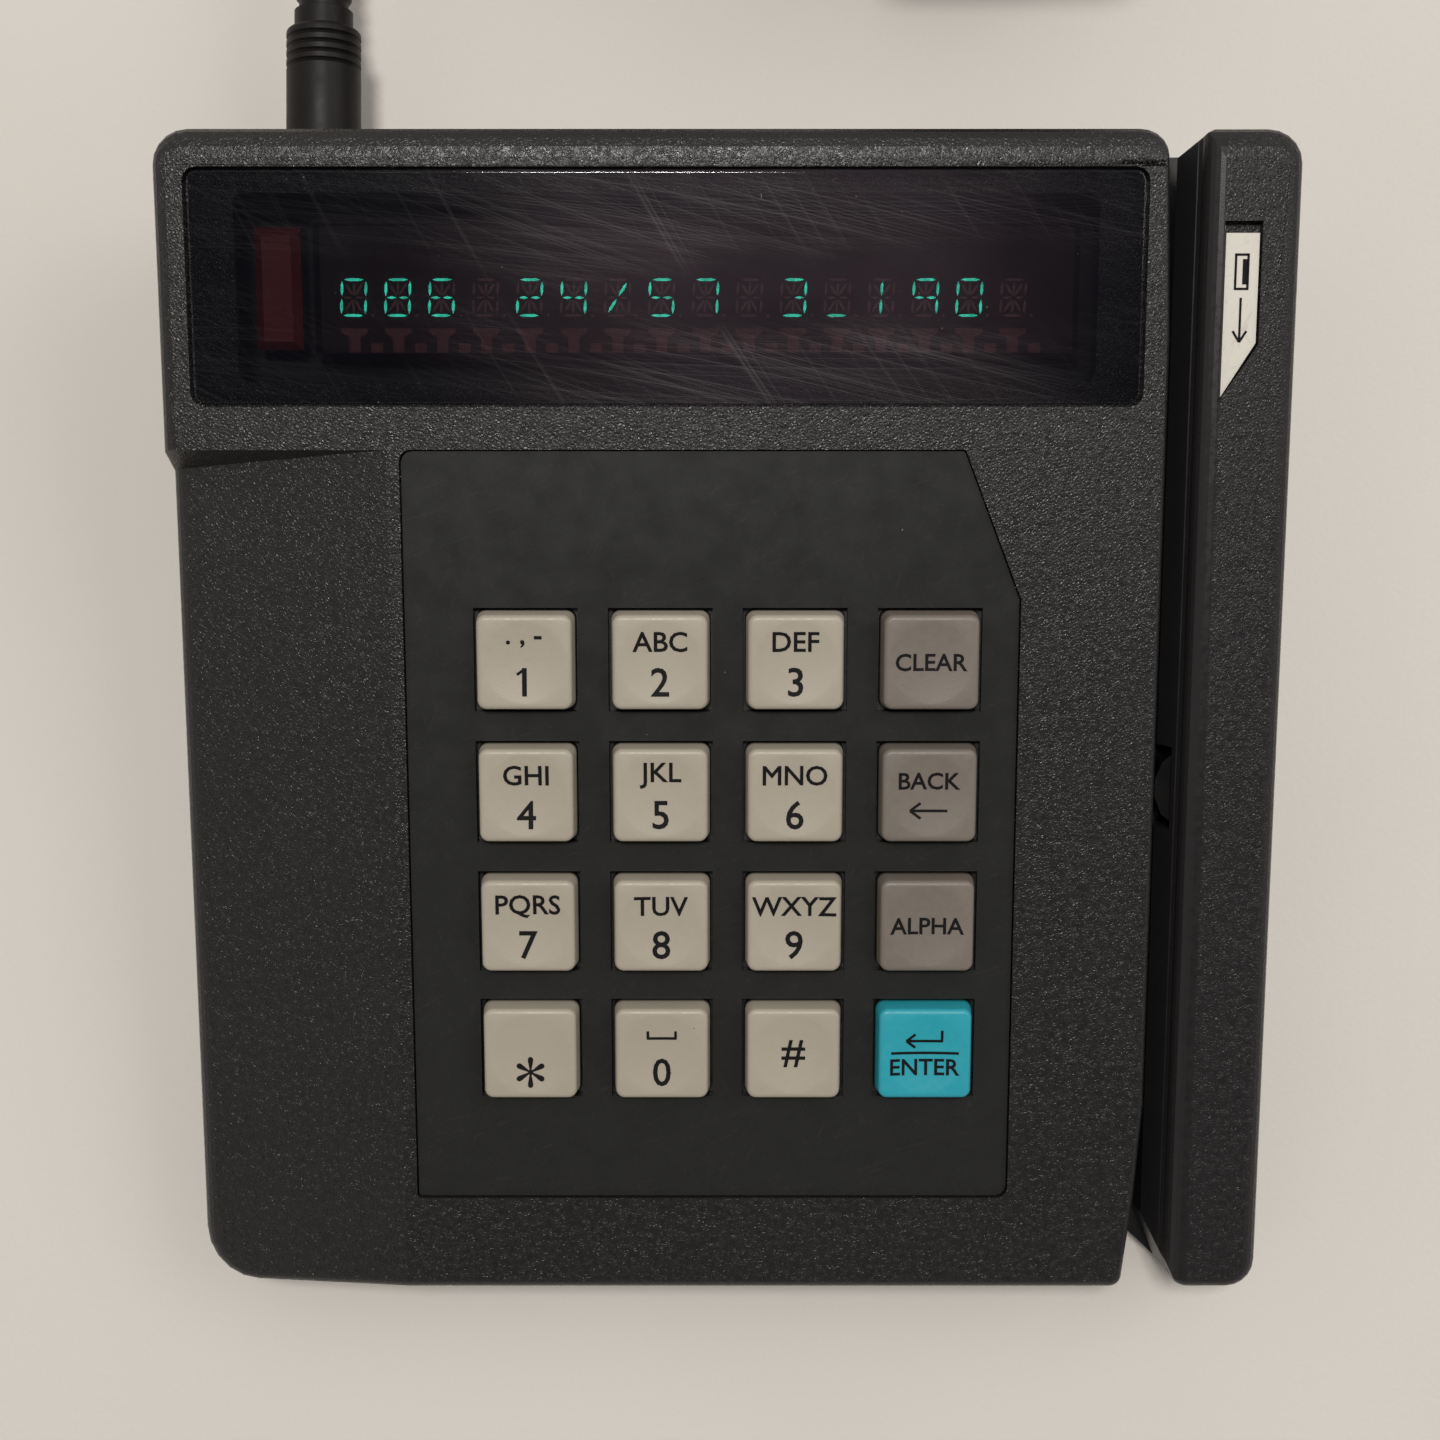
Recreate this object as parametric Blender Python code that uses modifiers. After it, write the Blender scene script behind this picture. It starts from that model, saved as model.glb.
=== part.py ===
"""Countertop card payment terminal with a keypad, a lit display and a swipe reader.

Metres, +Z up. The origin is the bottom centre of the terminal, +Y points to its rear edge
and +X to the reader. The deck is a plane that rises to the rear; everything on it is placed
in the deck's own frame: x across, y along the slope from the front edge, z out of the deck.
"""
import math

import bmesh
import bpy
from mathutils import Matrix, Vector

# Overall size
CASE_WIDTH = 0.1575
CASE_LENGTH = 0.1655
FRONT_HEIGHT = 0.0215
DECK_TILT = math.radians(9.2)
HALF_WIDTH = CASE_WIDTH / 2
HALF_LENGTH = CASE_LENGTH / 2
SLOPE_RUN = math.cos(DECK_TILT)
SLOPE_RISE = math.tan(DECK_TILT)
DECK_LENGTH = CASE_LENGTH / SLOPE_RUN

# Clearances and shared values
FIT = 0.0003
CUT = 0.004
WALL = 0.0024
DECK_WALL = 0.0034
BASE_PLATE = 0.0026
PARTING_HEIGHT = 0.009
FOOT_HEIGHT = 0.0015
ARC_STEPS = 3
RIM_STEPS = 5
ROUND_SIDES = 16
SMALL_SIDES = 10
WELD = 0.00001
FLAT_ANGLE = math.radians(0.05)
SHARP_ANGLE = math.radians(30)

# Case outline in plan
REAR_LEFT_RADIUS = 0.005
REAR_SLOT_RADIUS = 0.0040
FRONT_LEFT_RADIUS = 0.008
FRONT_SLOT_RADIUS = 0.0018
REAR_TOP_RADIUS = 0.0045
SIDE_TOP_RADIUS = 0.0022
FRONT_TOP_RADIUS = 0.0014
SLOT_TOP_RADIUS = 0.0008
BASE_EDGE_RADIUS = 0.0008

# Palm slope on the left of the keypad
PALM_HINGE_LEFT = 0.0475
PALM_DROP = 0.0053
PALM_REAR_SHARE = 0.475
PALM_REAR = PALM_REAR_SHARE * HALF_LENGTH
PALM_RISER_RUN = 0.002

# Swipe slot and reader rail
RAIL_WIDTH = 0.01755
SLOT_RIGHT = HALF_WIDTH - RAIL_WIDTH
SLOT_WIDTH = 0.0016
SLOT_DEPTH = 0.0156
SLOT_LEAD = 0.0010
SLOT_LEAD_LENGTH = 0.028
SHOULDER_REACH = 0.0066
SHOULDER_STEPS = 6
RAIL_NOSE_RADIUS = 0.0030
SLOT_END_LEAD = 0.0026
SLOT_MOUTH = 0.0060
SLOT_THROAT_DEPTH = 0.0075
SLOT_BEVEL_OUT = 0.0040
SLOT_BEVEL_DEPTH = 0.0028
TRACK_NOTCH = 0.0061
TRACK_FLARE_FRONT = 0.0105
TRACK_FLARE_REAR = 0.0028
FLOOR_STRIP_WIDTH = 0.0068
FLOOR_STRIP_THICKNESS = 0.0012
RAIL_REAR_RADIUS = 0.0048
RAIL_FRONT_RADIUS = 0.0042
RIB_WALL = 0.0020

# Display
LENS_SIDE_MARGIN = 0.00475
LENS_SLOT_MARGIN = 0.0039
LENS_FRONT_SHARE = 0.7748
LENS_REAR_SHARE = 0.9639
LENS_LEFT = HALF_WIDTH - LENS_SIDE_MARGIN
LENS_RIGHT = SLOT_RIGHT - LENS_SLOT_MARGIN
LENS_FRONT = LENS_FRONT_SHARE * DECK_LENGTH
LENS_REAR = LENS_REAR_SHARE * DECK_LENGTH
LENS_RADIUS = 0.0016
LENS_THICKNESS = 0.0017
LENS_BELOW_DECK = 0.0001
WINDOW_SIDE_MARGIN = 0.0060
WINDOW_MARGIN = 0.0030
TUBE_SIDE_MARGIN = 0.0150
TUBE_SLOT_MARGIN = 0.0068
TUBE_REAR_MARGIN = 0.0156
TUBE_LEFT = LENS_LEFT - TUBE_SIDE_MARGIN
TUBE_RIGHT = LENS_RIGHT - TUBE_SLOT_MARGIN
TUBE_DEPTH_ALONG = 0.0200
TUBE_CENTRE_ALONG = LENS_REAR - TUBE_REAR_MARGIN
TUBE_TOP = 0.0046
TUBE_HEIGHT = 0.0056
TUBE_GLASS = 0.0012
TUBE_PLATE = 0.0015
TUBE_RADIUS = 0.0010
PIN_COUNT = 16
PIN_PITCH_SHARE = 0.0566
PIN_PITCH = PIN_PITCH_SHARE * (TUBE_LEFT + TUBE_RIGHT)
PIN_WIDTH = 0.0006
PIN_LENGTH = 0.0018
PIN_SETBACK = 0.0012
DISPLAY_BOARD_INSET = 0.0005
DISPLAY_BOARD_REACH = 0.0003
DISPLAY_BOARD_LEFT = LENS_LEFT - DISPLAY_BOARD_INSET
DISPLAY_BOARD_RIGHT = LENS_RIGHT + DISPLAY_BOARD_REACH
DISPLAY_BOARD_ALONG = 0.0260
BOARD_THICKNESS = 0.0016
POST_RADIUS = 0.0022
DISPLAY_POST_INSET = 0.0027
DISPLAY_POST_SPREAD = 0.0090
INVERTER_LENGTH = 0.0170
INVERTER_WIDTH = 0.0065
INVERTER_HEIGHT = 0.0060
INVERTER_RIM = 0.0012

# Keypad
BEZEL_FRONT_SHARE = 0.0853
BEZEL_REAR_SHARE = 0.7366
BEZEL_FRONT = BEZEL_FRONT_SHARE * DECK_LENGTH
BEZEL_REAR = BEZEL_REAR_SHARE * DECK_LENGTH
KEY_PITCH_SHARE = 0.17445
KEY_SPACING = 0.00485
KEY_TAPER = 0.0008
KEY_PITCH = KEY_PITCH_SHARE * (BEZEL_REAR - BEZEL_FRONT)
KEY_BASE = KEY_PITCH - KEY_SPACING
KEY_TOP = KEY_BASE - KEY_TAPER
KEY_RISE = 0.0030
KEY_CORNER = 0.0013
KEY_EDGE = 0.0005
KEY_DISH_MARGIN = 0.0009
KEY_DISH_RADIUS = KEY_TOP / 2 - KEY_DISH_MARGIN
KEY_DISH_DEPTH = 0.0004
KEY_DISH_SIDES = 16
KEY_HOLE_GAP = 0.0003
KEY_FLANGE_REACH = 0.0008
KEY_HOLE = KEY_BASE + 2 * KEY_HOLE_GAP
KEY_FLANGE = KEY_HOLE + 2 * KEY_FLANGE_REACH
KEY_FLANGE_THICKNESS = 0.0012
KEY_STEM = 0.0060
KEY_STEM_LENGTH = 0.0013
KEYPAD_CENTRE_RIGHT = 0.0001
KEYPAD_CENTRE_SHARE = 0.4698
KEYPAD_CENTRE_ALONG = BEZEL_FRONT + KEYPAD_CENTRE_SHARE * (BEZEL_REAR - BEZEL_FRONT)
BEZEL_LEFT = 0.0455
BEZEL_RIGHT = 0.0412
BEZEL_CHAMFER_RIGHT = 0.0331
BEZEL_CHAMFER_LENGTH = 0.0208
BEZEL_CHAMFER_ALONG = BEZEL_REAR - BEZEL_CHAMFER_LENGTH
BEZEL_CORNER = 0.0016
BEZEL_SHARP_CORNER = 0.0005
BEZEL_THICKNESS = 0.0016
BEZEL_BELOW_DECK = 0.0006
BEZEL_LEDGE = 0.0030
BEZEL_FIT = 0.0002
MAT_MARGIN = 0.0087
MAT_THICKNESS = 0.0010
DOME_HEIGHT = 0.0033
DOME_BASE_RADIUS = 0.0042
DOME_TOP_RADIUS = 0.0026
KEYPAD_BOARD_MARGIN = 0.0092
KEYPAD_POST_RIGHT = 0.0300
KEYPAD_POST_INSET = 0.0040
KEYPAD_POST_CLEARANCE = 0.0083
KEYPAD_POST_ALONG = (KEY_PITCH * 3 + KEY_HOLE) / 2 + KEYPAD_POST_CLEARANCE
KEYPAD_BOARD_LENGTH = 2 * (KEYPAD_POST_ALONG + KEYPAD_POST_INSET)

# Screws, and posts whose ends are melted over a board
SCREW_HEAD_HEIGHT = 0.0011
PEG_RADIUS = 0.0011
STAKE_HEAD_RADIUS = 0.0018
STAKE_HEAD_HEIGHT = 0.0008
CASE_SCREW_RADIUS = 0.0014
CASE_SCREW_HEAD_RADIUS = 0.0028
CASE_SCREW_LENGTH = 0.0110
CASE_BOSS_RADIUS = 0.0035
CASE_BOSS_SIDE_MARGIN = 0.00825
CASE_BOSS_SLOT_MARGIN = 0.0092
CASE_BOSS_FRONT_MARGIN = 0.00925
CASE_BOSS_REAR_MARGIN = 0.00625
CASE_BOSS_SIDE = HALF_WIDTH - CASE_BOSS_SIDE_MARGIN
CASE_BOSS_RIGHT = SLOT_RIGHT - CASE_BOSS_SLOT_MARGIN
CASE_BOSS_FRONT = HALF_LENGTH - CASE_BOSS_FRONT_MARGIN
CASE_BOSS_REAR = HALF_LENGTH - CASE_BOSS_REAR_MARGIN
REAR_BOSS_HEIGHT = 0.0160
REAR_BOSS_WEB = 0.0020
COUNTERBORE_DEPTH = 0.0014

# Boards, parts and ports behind the case walls
MAIN_BOARD_SIDE_MARGIN = 0.00875
MAIN_BOARD_SLOT_MARGIN = 0.0082
MAIN_BOARD_FRONT_MARGIN = 0.01675
MAIN_BOARD_REAR_MARGIN = 0.01125
MAIN_BOARD_LEFT = HALF_WIDTH - MAIN_BOARD_SIDE_MARGIN
MAIN_BOARD_RIGHT = SLOT_RIGHT - MAIN_BOARD_SLOT_MARGIN
MAIN_BOARD_FRONT = HALF_LENGTH - MAIN_BOARD_FRONT_MARGIN
MAIN_BOARD_REAR = HALF_LENGTH - MAIN_BOARD_REAR_MARGIN
BOARD_POST_RISE = 0.0029
BOARD_POST_RADIUS = 0.0030
BOARD_POST_INSET = 0.0060
JACK_WIDTH = 0.0132
JACK_HEIGHT = 0.0120
JACK_DEPTH = 0.0155
JACK_HOLE_WIDTH = 0.0098
JACK_HOLE_HEIGHT = 0.0068
JACK_HOLE_DEPTH = 0.0125
JACK_LATCH_WIDTH = 0.0060
JACK_LATCH_HEIGHT = 0.0022
JACK_SETBACK = 0.0003
JACK_COUNT = 3
JACK_PITCH = 0.0165
JACKS_MIDDLE_LEFT = 0.0180
SERIAL_PORT_RIGHT = 0.0250
SERIAL_RADIUS = 0.0062
SERIAL_RING = 0.0008
SERIAL_PLUG_RADIUS = 0.0042
SERIAL_HOLLOW_DEPTH = 0.0050
POWER_JACK_WIDTH = 0.0100
POWER_AXIS_HEIGHT = 0.0152
POWER_PLUG_MARGIN = 0.01755
POWER_PLUG_LEFT = HALF_WIDTH - POWER_PLUG_MARGIN
POWER_BORE_RADIUS = 0.0031
POWER_BORE_DEPTH = 0.0110
CHIP_HEIGHT = 0.0042
CHIP_EDGE = 0.0004
PROCESSOR_SIDE = 0.0250
MEMORY_LENGTH = 0.0370
MEMORY_WIDTH = 0.0140
MODEM_SIDE = 0.0200
MODEM_HEIGHT = 0.0140
MODEM_BOBBIN_SIDE = 0.0130
MODEM_BOBBIN_RISE = 0.0016
BATTERY_RADIUS = 0.0100
BATTERY_HEIGHT = 0.0050
BEEPER_RADIUS = 0.0070
BEEPER_HEIGHT = 0.0075
BEEPER_PORT_RADIUS = 0.0013
HEATSINK_WIDTH = 0.0160
HEATSINK_DEPTH = 0.0080
HEATSINK_HEIGHT = 0.0130
HEATSINK_WEB = 0.0015
RIBBON_WIDTH = 0.0300
RIBBON_THICKNESS = 0.0008
RIBBON_PLACE_SHARES = ((0.68, 0.62), (0.34, 0.48))

# Reader head
HEAD_ALONG_SHARE = 0.4462
HEAD_ALONG = HEAD_ALONG_SHARE * DECK_LENGTH
HEAD_ABOVE_FLOOR = 0.0072
HEAD_LENGTH = 0.0110
HEAD_HEIGHT = 0.0066
HEAD_DEPTH = 0.0090
HEAD_PROUD = 0.0006
HEAD_NOSE = 0.0030
HEAD_NOSE_SHARE = 0.3
HEAD_WINDOW_MARGIN = 0.0006
SPRING_THICKNESS = 0.0006
SPRING_LENGTH = 0.0340
SPRING_WIDTH = 0.0050
SPRING_HOLE_INSET = 0.0035
HEAD_BOSS_RADIUS = 0.0023
HEAD_CABLE_RADIUS = 0.0008
CABLE_NOTCH_HEIGHT = 0.0055
CABLE_NOTCH_LENGTH = 0.0080

# Labels
LABEL_SIDE_MARGIN = 0.01045
LABEL_LEFT = HALF_WIDTH - LABEL_SIDE_MARGIN
LABEL_WIDTH = 0.0046
LABEL_REAR_MARGIN = 0.01456
LABEL_REAR = DECK_LENGTH - LABEL_REAR_MARGIN
LABEL_LENGTH = 0.0222
LABEL_SHORT_SIDE = 0.0148
LABEL_THICKNESS = 0.0010
LABEL_BELOW_DECK = 0.0004
LABEL_GAP = 0.0013
FOOT_RADIUS = 0.0060
FOOT_SEAT = 0.0010
FOOT_EDGE = 0.0006
FOOT_INSET = 0.0185

# Power lead: plug, strain relief, free cord, coil and wall adapter
PLUG_RADIUS = 0.0056
PLUG_BARREL_LENGTH = 0.0235
PLUG_EDGE = 0.0008
PLUG_GROOVE_START = 0.0172
PLUG_GROOVE_PITCH = 0.0014
PLUG_GROOVE_DEPTH = 0.0004
PLUG_GROOVES = 4
PLUG_NECK_RADIUS = 0.0044
PLUG_NECK_LENGTH = 0.0030
PLUG_TIP_RADIUS = 0.00275
PLUG_BORE_RADIUS = 0.00125
PLUG_BORE_DEPTH = 0.0080
PLUG_TIP_LENGTH = 0.0095
SLEEVE_RADIUS = 0.0042
SLEEVE_END_RADIUS = 0.0034
SLEEVE_LENGTH = 0.0160
SLEEVE_RIBS = 5
SLEEVE_RIB_DEPTH = 0.0005
SLEEVE_GROOVE_SHARE = 0.4
CORD_RADIUS = 0.0025
COIL_RADIUS = 0.0283
COIL_TURNS = 9.25
COIL_LAYERS = 4
COIL_GAP = 0.00045
COIL_TURN_POINTS = 24
COIL_INSET = 0.0312
COIL_DISTANCE = 0.08975
COIL_LEFT = POWER_PLUG_LEFT - COIL_INSET
COIL_BACK = HALF_LENGTH + COIL_DISTANCE
TIE_WIDTH = 0.0060
TIE_THICKNESS = 0.0008
TIE_ANGLE = math.radians(300)
ADAPTER_WIDTH = 0.0380
ADAPTER_LENGTH = 0.0560
ADAPTER_HEIGHT = 0.0440
ADAPTER_EDGE = 0.0025
ADAPTER_DISTANCE = 0.0710
ADAPTER_SETBACK = 0.0225
ADAPTER_RIGHT = ADAPTER_DISTANCE - COIL_LEFT
ADAPTER_BACK = COIL_BACK - ADAPTER_SETBACK
ADAPTER_RELIEF_HEIGHT = 0.0070
ADAPTER_RELIEF_LENGTH = 0.0080
BLADE_SPACING = 0.0127
BLADE_WIDTH = 0.0063
BLADE_THICKNESS = 0.0015
BLADE_LENGTH = 0.0160
BLADE_SEAT = 0.0020
BLADE_PLATE_LENGTH = 0.0110
BLADE_PLATE_HEIGHT = 0.0220

BASE_TOP = FOOT_HEIGHT + BASE_PLATE
BOARD_BOTTOM = BASE_TOP + BOARD_POST_RISE + FIT
BOARD_TOP = BOARD_BOTTOM + BOARD_THICKNESS

# Plain finishes: colour, roughness, metallic
FINISHES = {
    "case": ((0.030, 0.030, 0.031), 0.62, 0.0),
    "case_smooth": ((0.022, 0.023, 0.025), 0.42, 0.0),
    "bezel": ((0.030, 0.031, 0.033), 0.38, 0.0),
    "smoked_window": ((0.010, 0.008, 0.014), 0.06, 0.0),
    "tube_glass": ((0.080, 0.050, 0.060), 0.08, 0.0),
    "tube_plate": ((0.070, 0.030, 0.035), 0.30, 0.0),
    "inverter": ((0.200, 0.030, 0.030), 0.45, 0.0),
    "key_grey": ((0.450, 0.410, 0.340), 0.45, 0.0),
    "key_taupe": ((0.205, 0.175, 0.155), 0.45, 0.0),
    "key_cyan": ((0.030, 0.430, 0.520), 0.40, 0.0),
    "mat_rubber": ((0.250, 0.250, 0.240), 0.80, 0.0),
    "board_green": ((0.020, 0.110, 0.050), 0.45, 0.0),
    "chip_black": ((0.018, 0.018, 0.020), 0.50, 0.0),
    "ribbon_grey": ((0.350, 0.350, 0.340), 0.60, 0.0),
    "metal": ((0.620, 0.610, 0.590), 0.30, 1.0),
    "brass": ((0.700, 0.550, 0.280), 0.30, 1.0),
    "aluminium": ((0.680, 0.680, 0.690), 0.38, 1.0),
    "rubber_black": ((0.015, 0.015, 0.015), 0.75, 0.0),
    "label_white": ((0.720, 0.700, 0.650), 0.50, 0.0),
    "cord_black": ((0.014, 0.013, 0.013), 0.50, 0.0),
    "adapter_black": ((0.020, 0.020, 0.020), 0.50, 0.0),
}


# Scene, collections and materials
def clear_scene():
    for item in list(bpy.data.objects):
        bpy.data.objects.remove(item, do_unlink=True)


def new_collection(name):
    made = bpy.data.collections.new(name)
    bpy.context.scene.collection.children.link(made)
    return made


def finish(name, kind):
    colour, roughness, metallic = FINISHES[kind]
    material = bpy.data.materials.new(name)
    material.use_nodes = True
    shader = material.node_tree.nodes["Principled BSDF"]
    shader.inputs["Base Color"].default_value = (*colour, 1)
    shader.inputs["Roughness"].default_value = roughness
    shader.inputs["Metallic"].default_value = metallic
    return material


clear_scene()
PARTS = new_collection("card_payment_terminal")
CUTTERS = new_collection("cutters")


# Meshes from outlines, boxes, turned profiles and paths
def arc_corner(before, corner, after, radius, steps):
    """Points of a round corner between two straight edges."""
    into = (Vector(before) - Vector(corner)).normalized()
    out = (Vector(after) - Vector(corner)).normalized()
    half = into.angle(out) / 2
    setback = radius / math.tan(half)
    centre = Vector(corner) + (into + out).normalized() * radius / math.sin(half)
    start = Vector(corner) + into * setback - centre
    end = Vector(corner) + out * setback - centre
    sweep = start.angle_signed(end)
    turned = [Matrix.Rotation(-sweep * i / steps, 2) @ start for i in range(steps + 1)]
    return [tuple(centre + point) for point in turned]


def rounded(corners, steps=ARC_STEPS):
    """An outline from corners given as x, y, radius."""
    points = []
    for i, (x, y, radius) in enumerate(corners):
        before = corners[i - 1][:2]
        after = corners[(i + 1) % len(corners)][:2]
        points += arc_corner(before, (x, y), after, radius, steps) if radius else [(x, y)]
    return points


def rectangle(x_low, x_high, y_low, y_high, radius=0):
    return rounded([(x_low, y_low, radius), (x_high, y_low, radius), (x_high, y_high, radius), (x_low, y_high, radius)])


def circle(radius, sides, x=0, y=0):
    turns = [2 * math.pi * i / sides for i in range(sides)]
    return [(x + radius * math.cos(turn), y + radius * math.sin(turn)) for turn in turns]


def curve_mesh(curve, matrix=None):
    """The mesh of a curve, with its caps welded."""
    holder = bpy.data.objects.new("curve", curve)
    bpy.context.scene.collection.objects.link(holder)
    bpy.context.view_layer.update()
    mesh = bpy.data.meshes.new_from_object(holder.evaluated_get(bpy.context.evaluated_depsgraph_get()))
    bpy.data.objects.remove(holder, do_unlink=True)
    shape = bmesh.new()
    shape.from_mesh(mesh)
    bmesh.ops.remove_doubles(shape, verts=shape.verts, dist=WELD)
    bmesh.ops.recalc_face_normals(shape, faces=shape.faces)
    if matrix:
        shape.transform(matrix)
    return shape


def slab(outline, low, high, holes=()):
    """A plate from z=low to z=high with the given outline and holes."""
    curve = bpy.data.curves.new("outline", "CURVE")
    curve.dimensions = "2D"
    curve.fill_mode = "BOTH"
    curve.extrude = (high - low) / 2
    for ring in [outline, *holes]:
        spline = curve.splines.new("POLY")
        spline.points.add(len(ring) - 1)
        for place, (x, y) in zip(spline.points, ring):
            place.co = (x, y, 0, 1)
        spline.use_cyclic_u = True
    shape = curve_mesh(curve, Matrix.Translation((0, 0, (high + low) / 2)))
    bmesh.ops.dissolve_limit(shape, angle_limit=FLAT_ANGLE, verts=[], edges=inner_edges(shape))
    return shape


def inner_edges(shape):
    """Edges between two faces of one plane, which a filled outline leaves behind."""
    return [edge for edge in shape.edges if len(edge.link_faces) == 2 and edge.calc_face_angle() < FLAT_ANGLE]


def box(x_low, x_high, y_low, y_high, z_low, z_high):
    shape = bmesh.new()
    bmesh.ops.create_cube(shape, size=1)
    size = Matrix.Diagonal((x_high - x_low, y_high - y_low, z_high - z_low, 1))
    middle = Vector((x_low + x_high, y_low + y_high, z_low + z_high)) / 2
    shape.transform(Matrix.Translation(middle) @ size)
    return shape


def cylinder(radius, low, high, x=0, y=0, sides=ROUND_SIDES, top_radius=None):
    shape = bmesh.new()
    top = radius if top_radius is None else top_radius
    bmesh.ops.create_cone(
        shape, cap_ends=True, segments=sides, radius1=radius, radius2=top, depth=high - low
    )
    shape.transform(Matrix.Translation((x, y, (low + high) / 2)))
    return shape


def turned(profile, sides=ROUND_SIDES):
    """A solid of revolution about z, from radius and height pairs that start and end on the axis."""
    shape = bmesh.new()
    ring = [shape.verts.new((radius, 0, height)) for radius, height in profile]
    edges = [shape.edges.new(pair) for pair in zip(ring, ring[1:])]
    bmesh.ops.spin(
        shape, geom=ring + edges, cent=(0, 0, 0), axis=(0, 0, 1), angle=2 * math.pi, steps=sides, use_merge=True
    )
    bmesh.ops.remove_doubles(shape, verts=shape.verts, dist=WELD)
    bmesh.ops.recalc_face_normals(shape, faces=shape.faces)
    return shape


def tube(points, radius, resolution):
    """A round tube with filled caps along a list of points."""
    curve = bpy.data.curves.new("path", "CURVE")
    curve.dimensions = "3D"
    curve.bevel_depth = radius
    curve.bevel_resolution = resolution
    curve.use_fill_caps = True
    spline = curve.splines.new("POLY")
    spline.points.add(len(points) - 1)
    for place, point in zip(spline.points, points):
        place.co = (*point, 1)
    return curve_mesh(curve)


def joined(shapes):
    """Several closed shapes that don't meet, as one."""
    whole = bmesh.new()
    for shape in shapes:
        mesh = bpy.data.meshes.new("piece")
        shape.to_mesh(mesh)
        shape.free()
        whole.from_mesh(mesh)
        bpy.data.meshes.remove(mesh)
    return whole


def bevel_edges(shape, edges, width, steps=1):
    bmesh.ops.bevel(
        shape, geom=edges, offset=width, segments=steps, profile=0.5, affect="EDGES", clamp_overlap=False
    )


def bevelled_box(sizes, width, steps=1, top_only=True):
    """A box with its upper edges, or all of them, taken off."""
    shape = box(*sizes)
    top = max(vert.co.z for vert in shape.verts)
    edges = [
        edge for edge in shape.edges
        if not top_only or all(vert.co.z > top - WELD for vert in edge.verts)
    ]
    bevel_edges(shape, edges, width, steps)
    return shape


def reshaped(shape, matrix):
    shape.transform(matrix)
    return shape


# Objects and their cuts
def add_object(name, shape, collection):
    mesh = bpy.data.meshes.new(name)
    shape.to_mesh(mesh)
    shape.free()
    made = bpy.data.objects.new(name, mesh)
    collection.objects.link(made)
    return made


def add_part(name, shape, kind, parent=None):
    made = add_object(name, shape, PARTS)
    made.data.materials.append(finish(name, kind))
    made.data.shade_smooth()
    made.data.set_sharp_from_angle(angle=SHARP_ANGLE)
    made.parent = parent
    return made


def change(part, shape, operation, parent=None):
    """Cuts a shape from a part, or joins it on."""
    cutter = add_object(f"{part.name}_{operation.lower()}", shape, CUTTERS)
    cutter.parent = parent or part.parent
    cutter.hide_render = True
    cutter.display_type = "WIRE"
    step = part.modifiers.new(cutter.name, "BOOLEAN")
    step.operation = operation
    step.solver = "EXACT"
    step.object = cutter


def cut(part, shape, parent=None):
    change(part, shape, "DIFFERENCE", parent)


def join(part, shape, parent=None):
    change(part, shape, "UNION", parent)


def empty(name, location, rotation=(0, 0, 0), parent=None):
    made = bpy.data.objects.new(name, None)
    made.location = location
    made.rotation_euler = rotation
    made.parent = parent
    PARTS.objects.link(made)
    return made


def lofted(levels):
    """A solid that grows from one outline to the next; levels are an outline and its height."""
    shape = bmesh.new()
    outline, height = levels[0]
    face = shape.faces.new([shape.verts.new((x, y, height)) for x, y in outline])
    lids = [face]
    for outline, height in levels[1:]:
        grown = bmesh.ops.extrude_face_region(shape, geom=[lids[-1]])["geom"]
        face = next(item for item in grown if isinstance(item, bmesh.types.BMFace))
        lids.append(face)
        for vert, (x, y) in zip(face.verts, outline):
            vert.co = (x, y, height)
    inside = [face for face in lids[1:-1] if face.is_valid]
    bmesh.ops.delete(shape, geom=inside, context="FACES_ONLY")
    bmesh.ops.recalc_face_normals(shape, faces=shape.faces)
    return shape


def stake(radius, root, seat, through):
    """A post up or down to a board's seat, with a peg through the board and a melted head over it."""
    way = math.copysign(1, seat - root)
    neck = seat + way * through
    end = neck + way * STAKE_HEAD_HEIGHT
    return turned([
        (0, root), (radius, root), (radius, seat), (PEG_RADIUS, seat), (PEG_RADIUS, neck),
        (STAKE_HEAD_RADIUS, neck), (PEG_RADIUS, end), (0, end),
    ], SMALL_SIDES)


def stakes(places, radius, root, seat, through=BOARD_THICKNESS + 2 * FIT):
    return [
        reshaped(stake(radius, root, seat, through), Matrix.Translation((x, y, 0))) for x, y in places
    ]


def trimmed(shape, point, normal):
    """The part of a solid behind a plane, with the cut closed."""
    everything = shape.verts[:] + shape.edges[:] + shape.faces[:]
    sliced = bmesh.ops.bisect_plane(shape, geom=everything, plane_co=point, plane_no=normal, clear_outer=True)
    rim = [item for item in sliced["geom_cut"] if isinstance(item, bmesh.types.BMEdge)]
    bmesh.ops.holes_fill(shape, edges=rim)
    bmesh.ops.recalc_face_normals(shape, faces=shape.faces)
    return shape


# The deck's frame and what is built in it
DECK_PLACE = Vector((0, -HALF_LENGTH, FRONT_HEIGHT))
DECK_FRAME = Matrix.Translation(DECK_PLACE) @ Matrix.Rotation(DECK_TILT, 4, "X")
DECK = empty("deck_frame", DECK_PLACE, (DECK_TILT, 0, 0))
DECK_NORMAL = DECK_FRAME.to_3x3() @ Vector((0, 0, 1))


def along_deck(section, start, end):
    """A bar along the slope, from an outline of x and height above the deck."""
    return reshaped(slab(section, -end, -start), Matrix.Rotation(math.pi / 2, 4, "X"))


def in_world(shape):
    return reshaped(shape, DECK_FRAME)


def deck_height(y, below=0):
    return FRONT_HEIGHT + (y + HALF_LENGTH) * SLOPE_RISE - below / SLOPE_RUN


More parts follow.
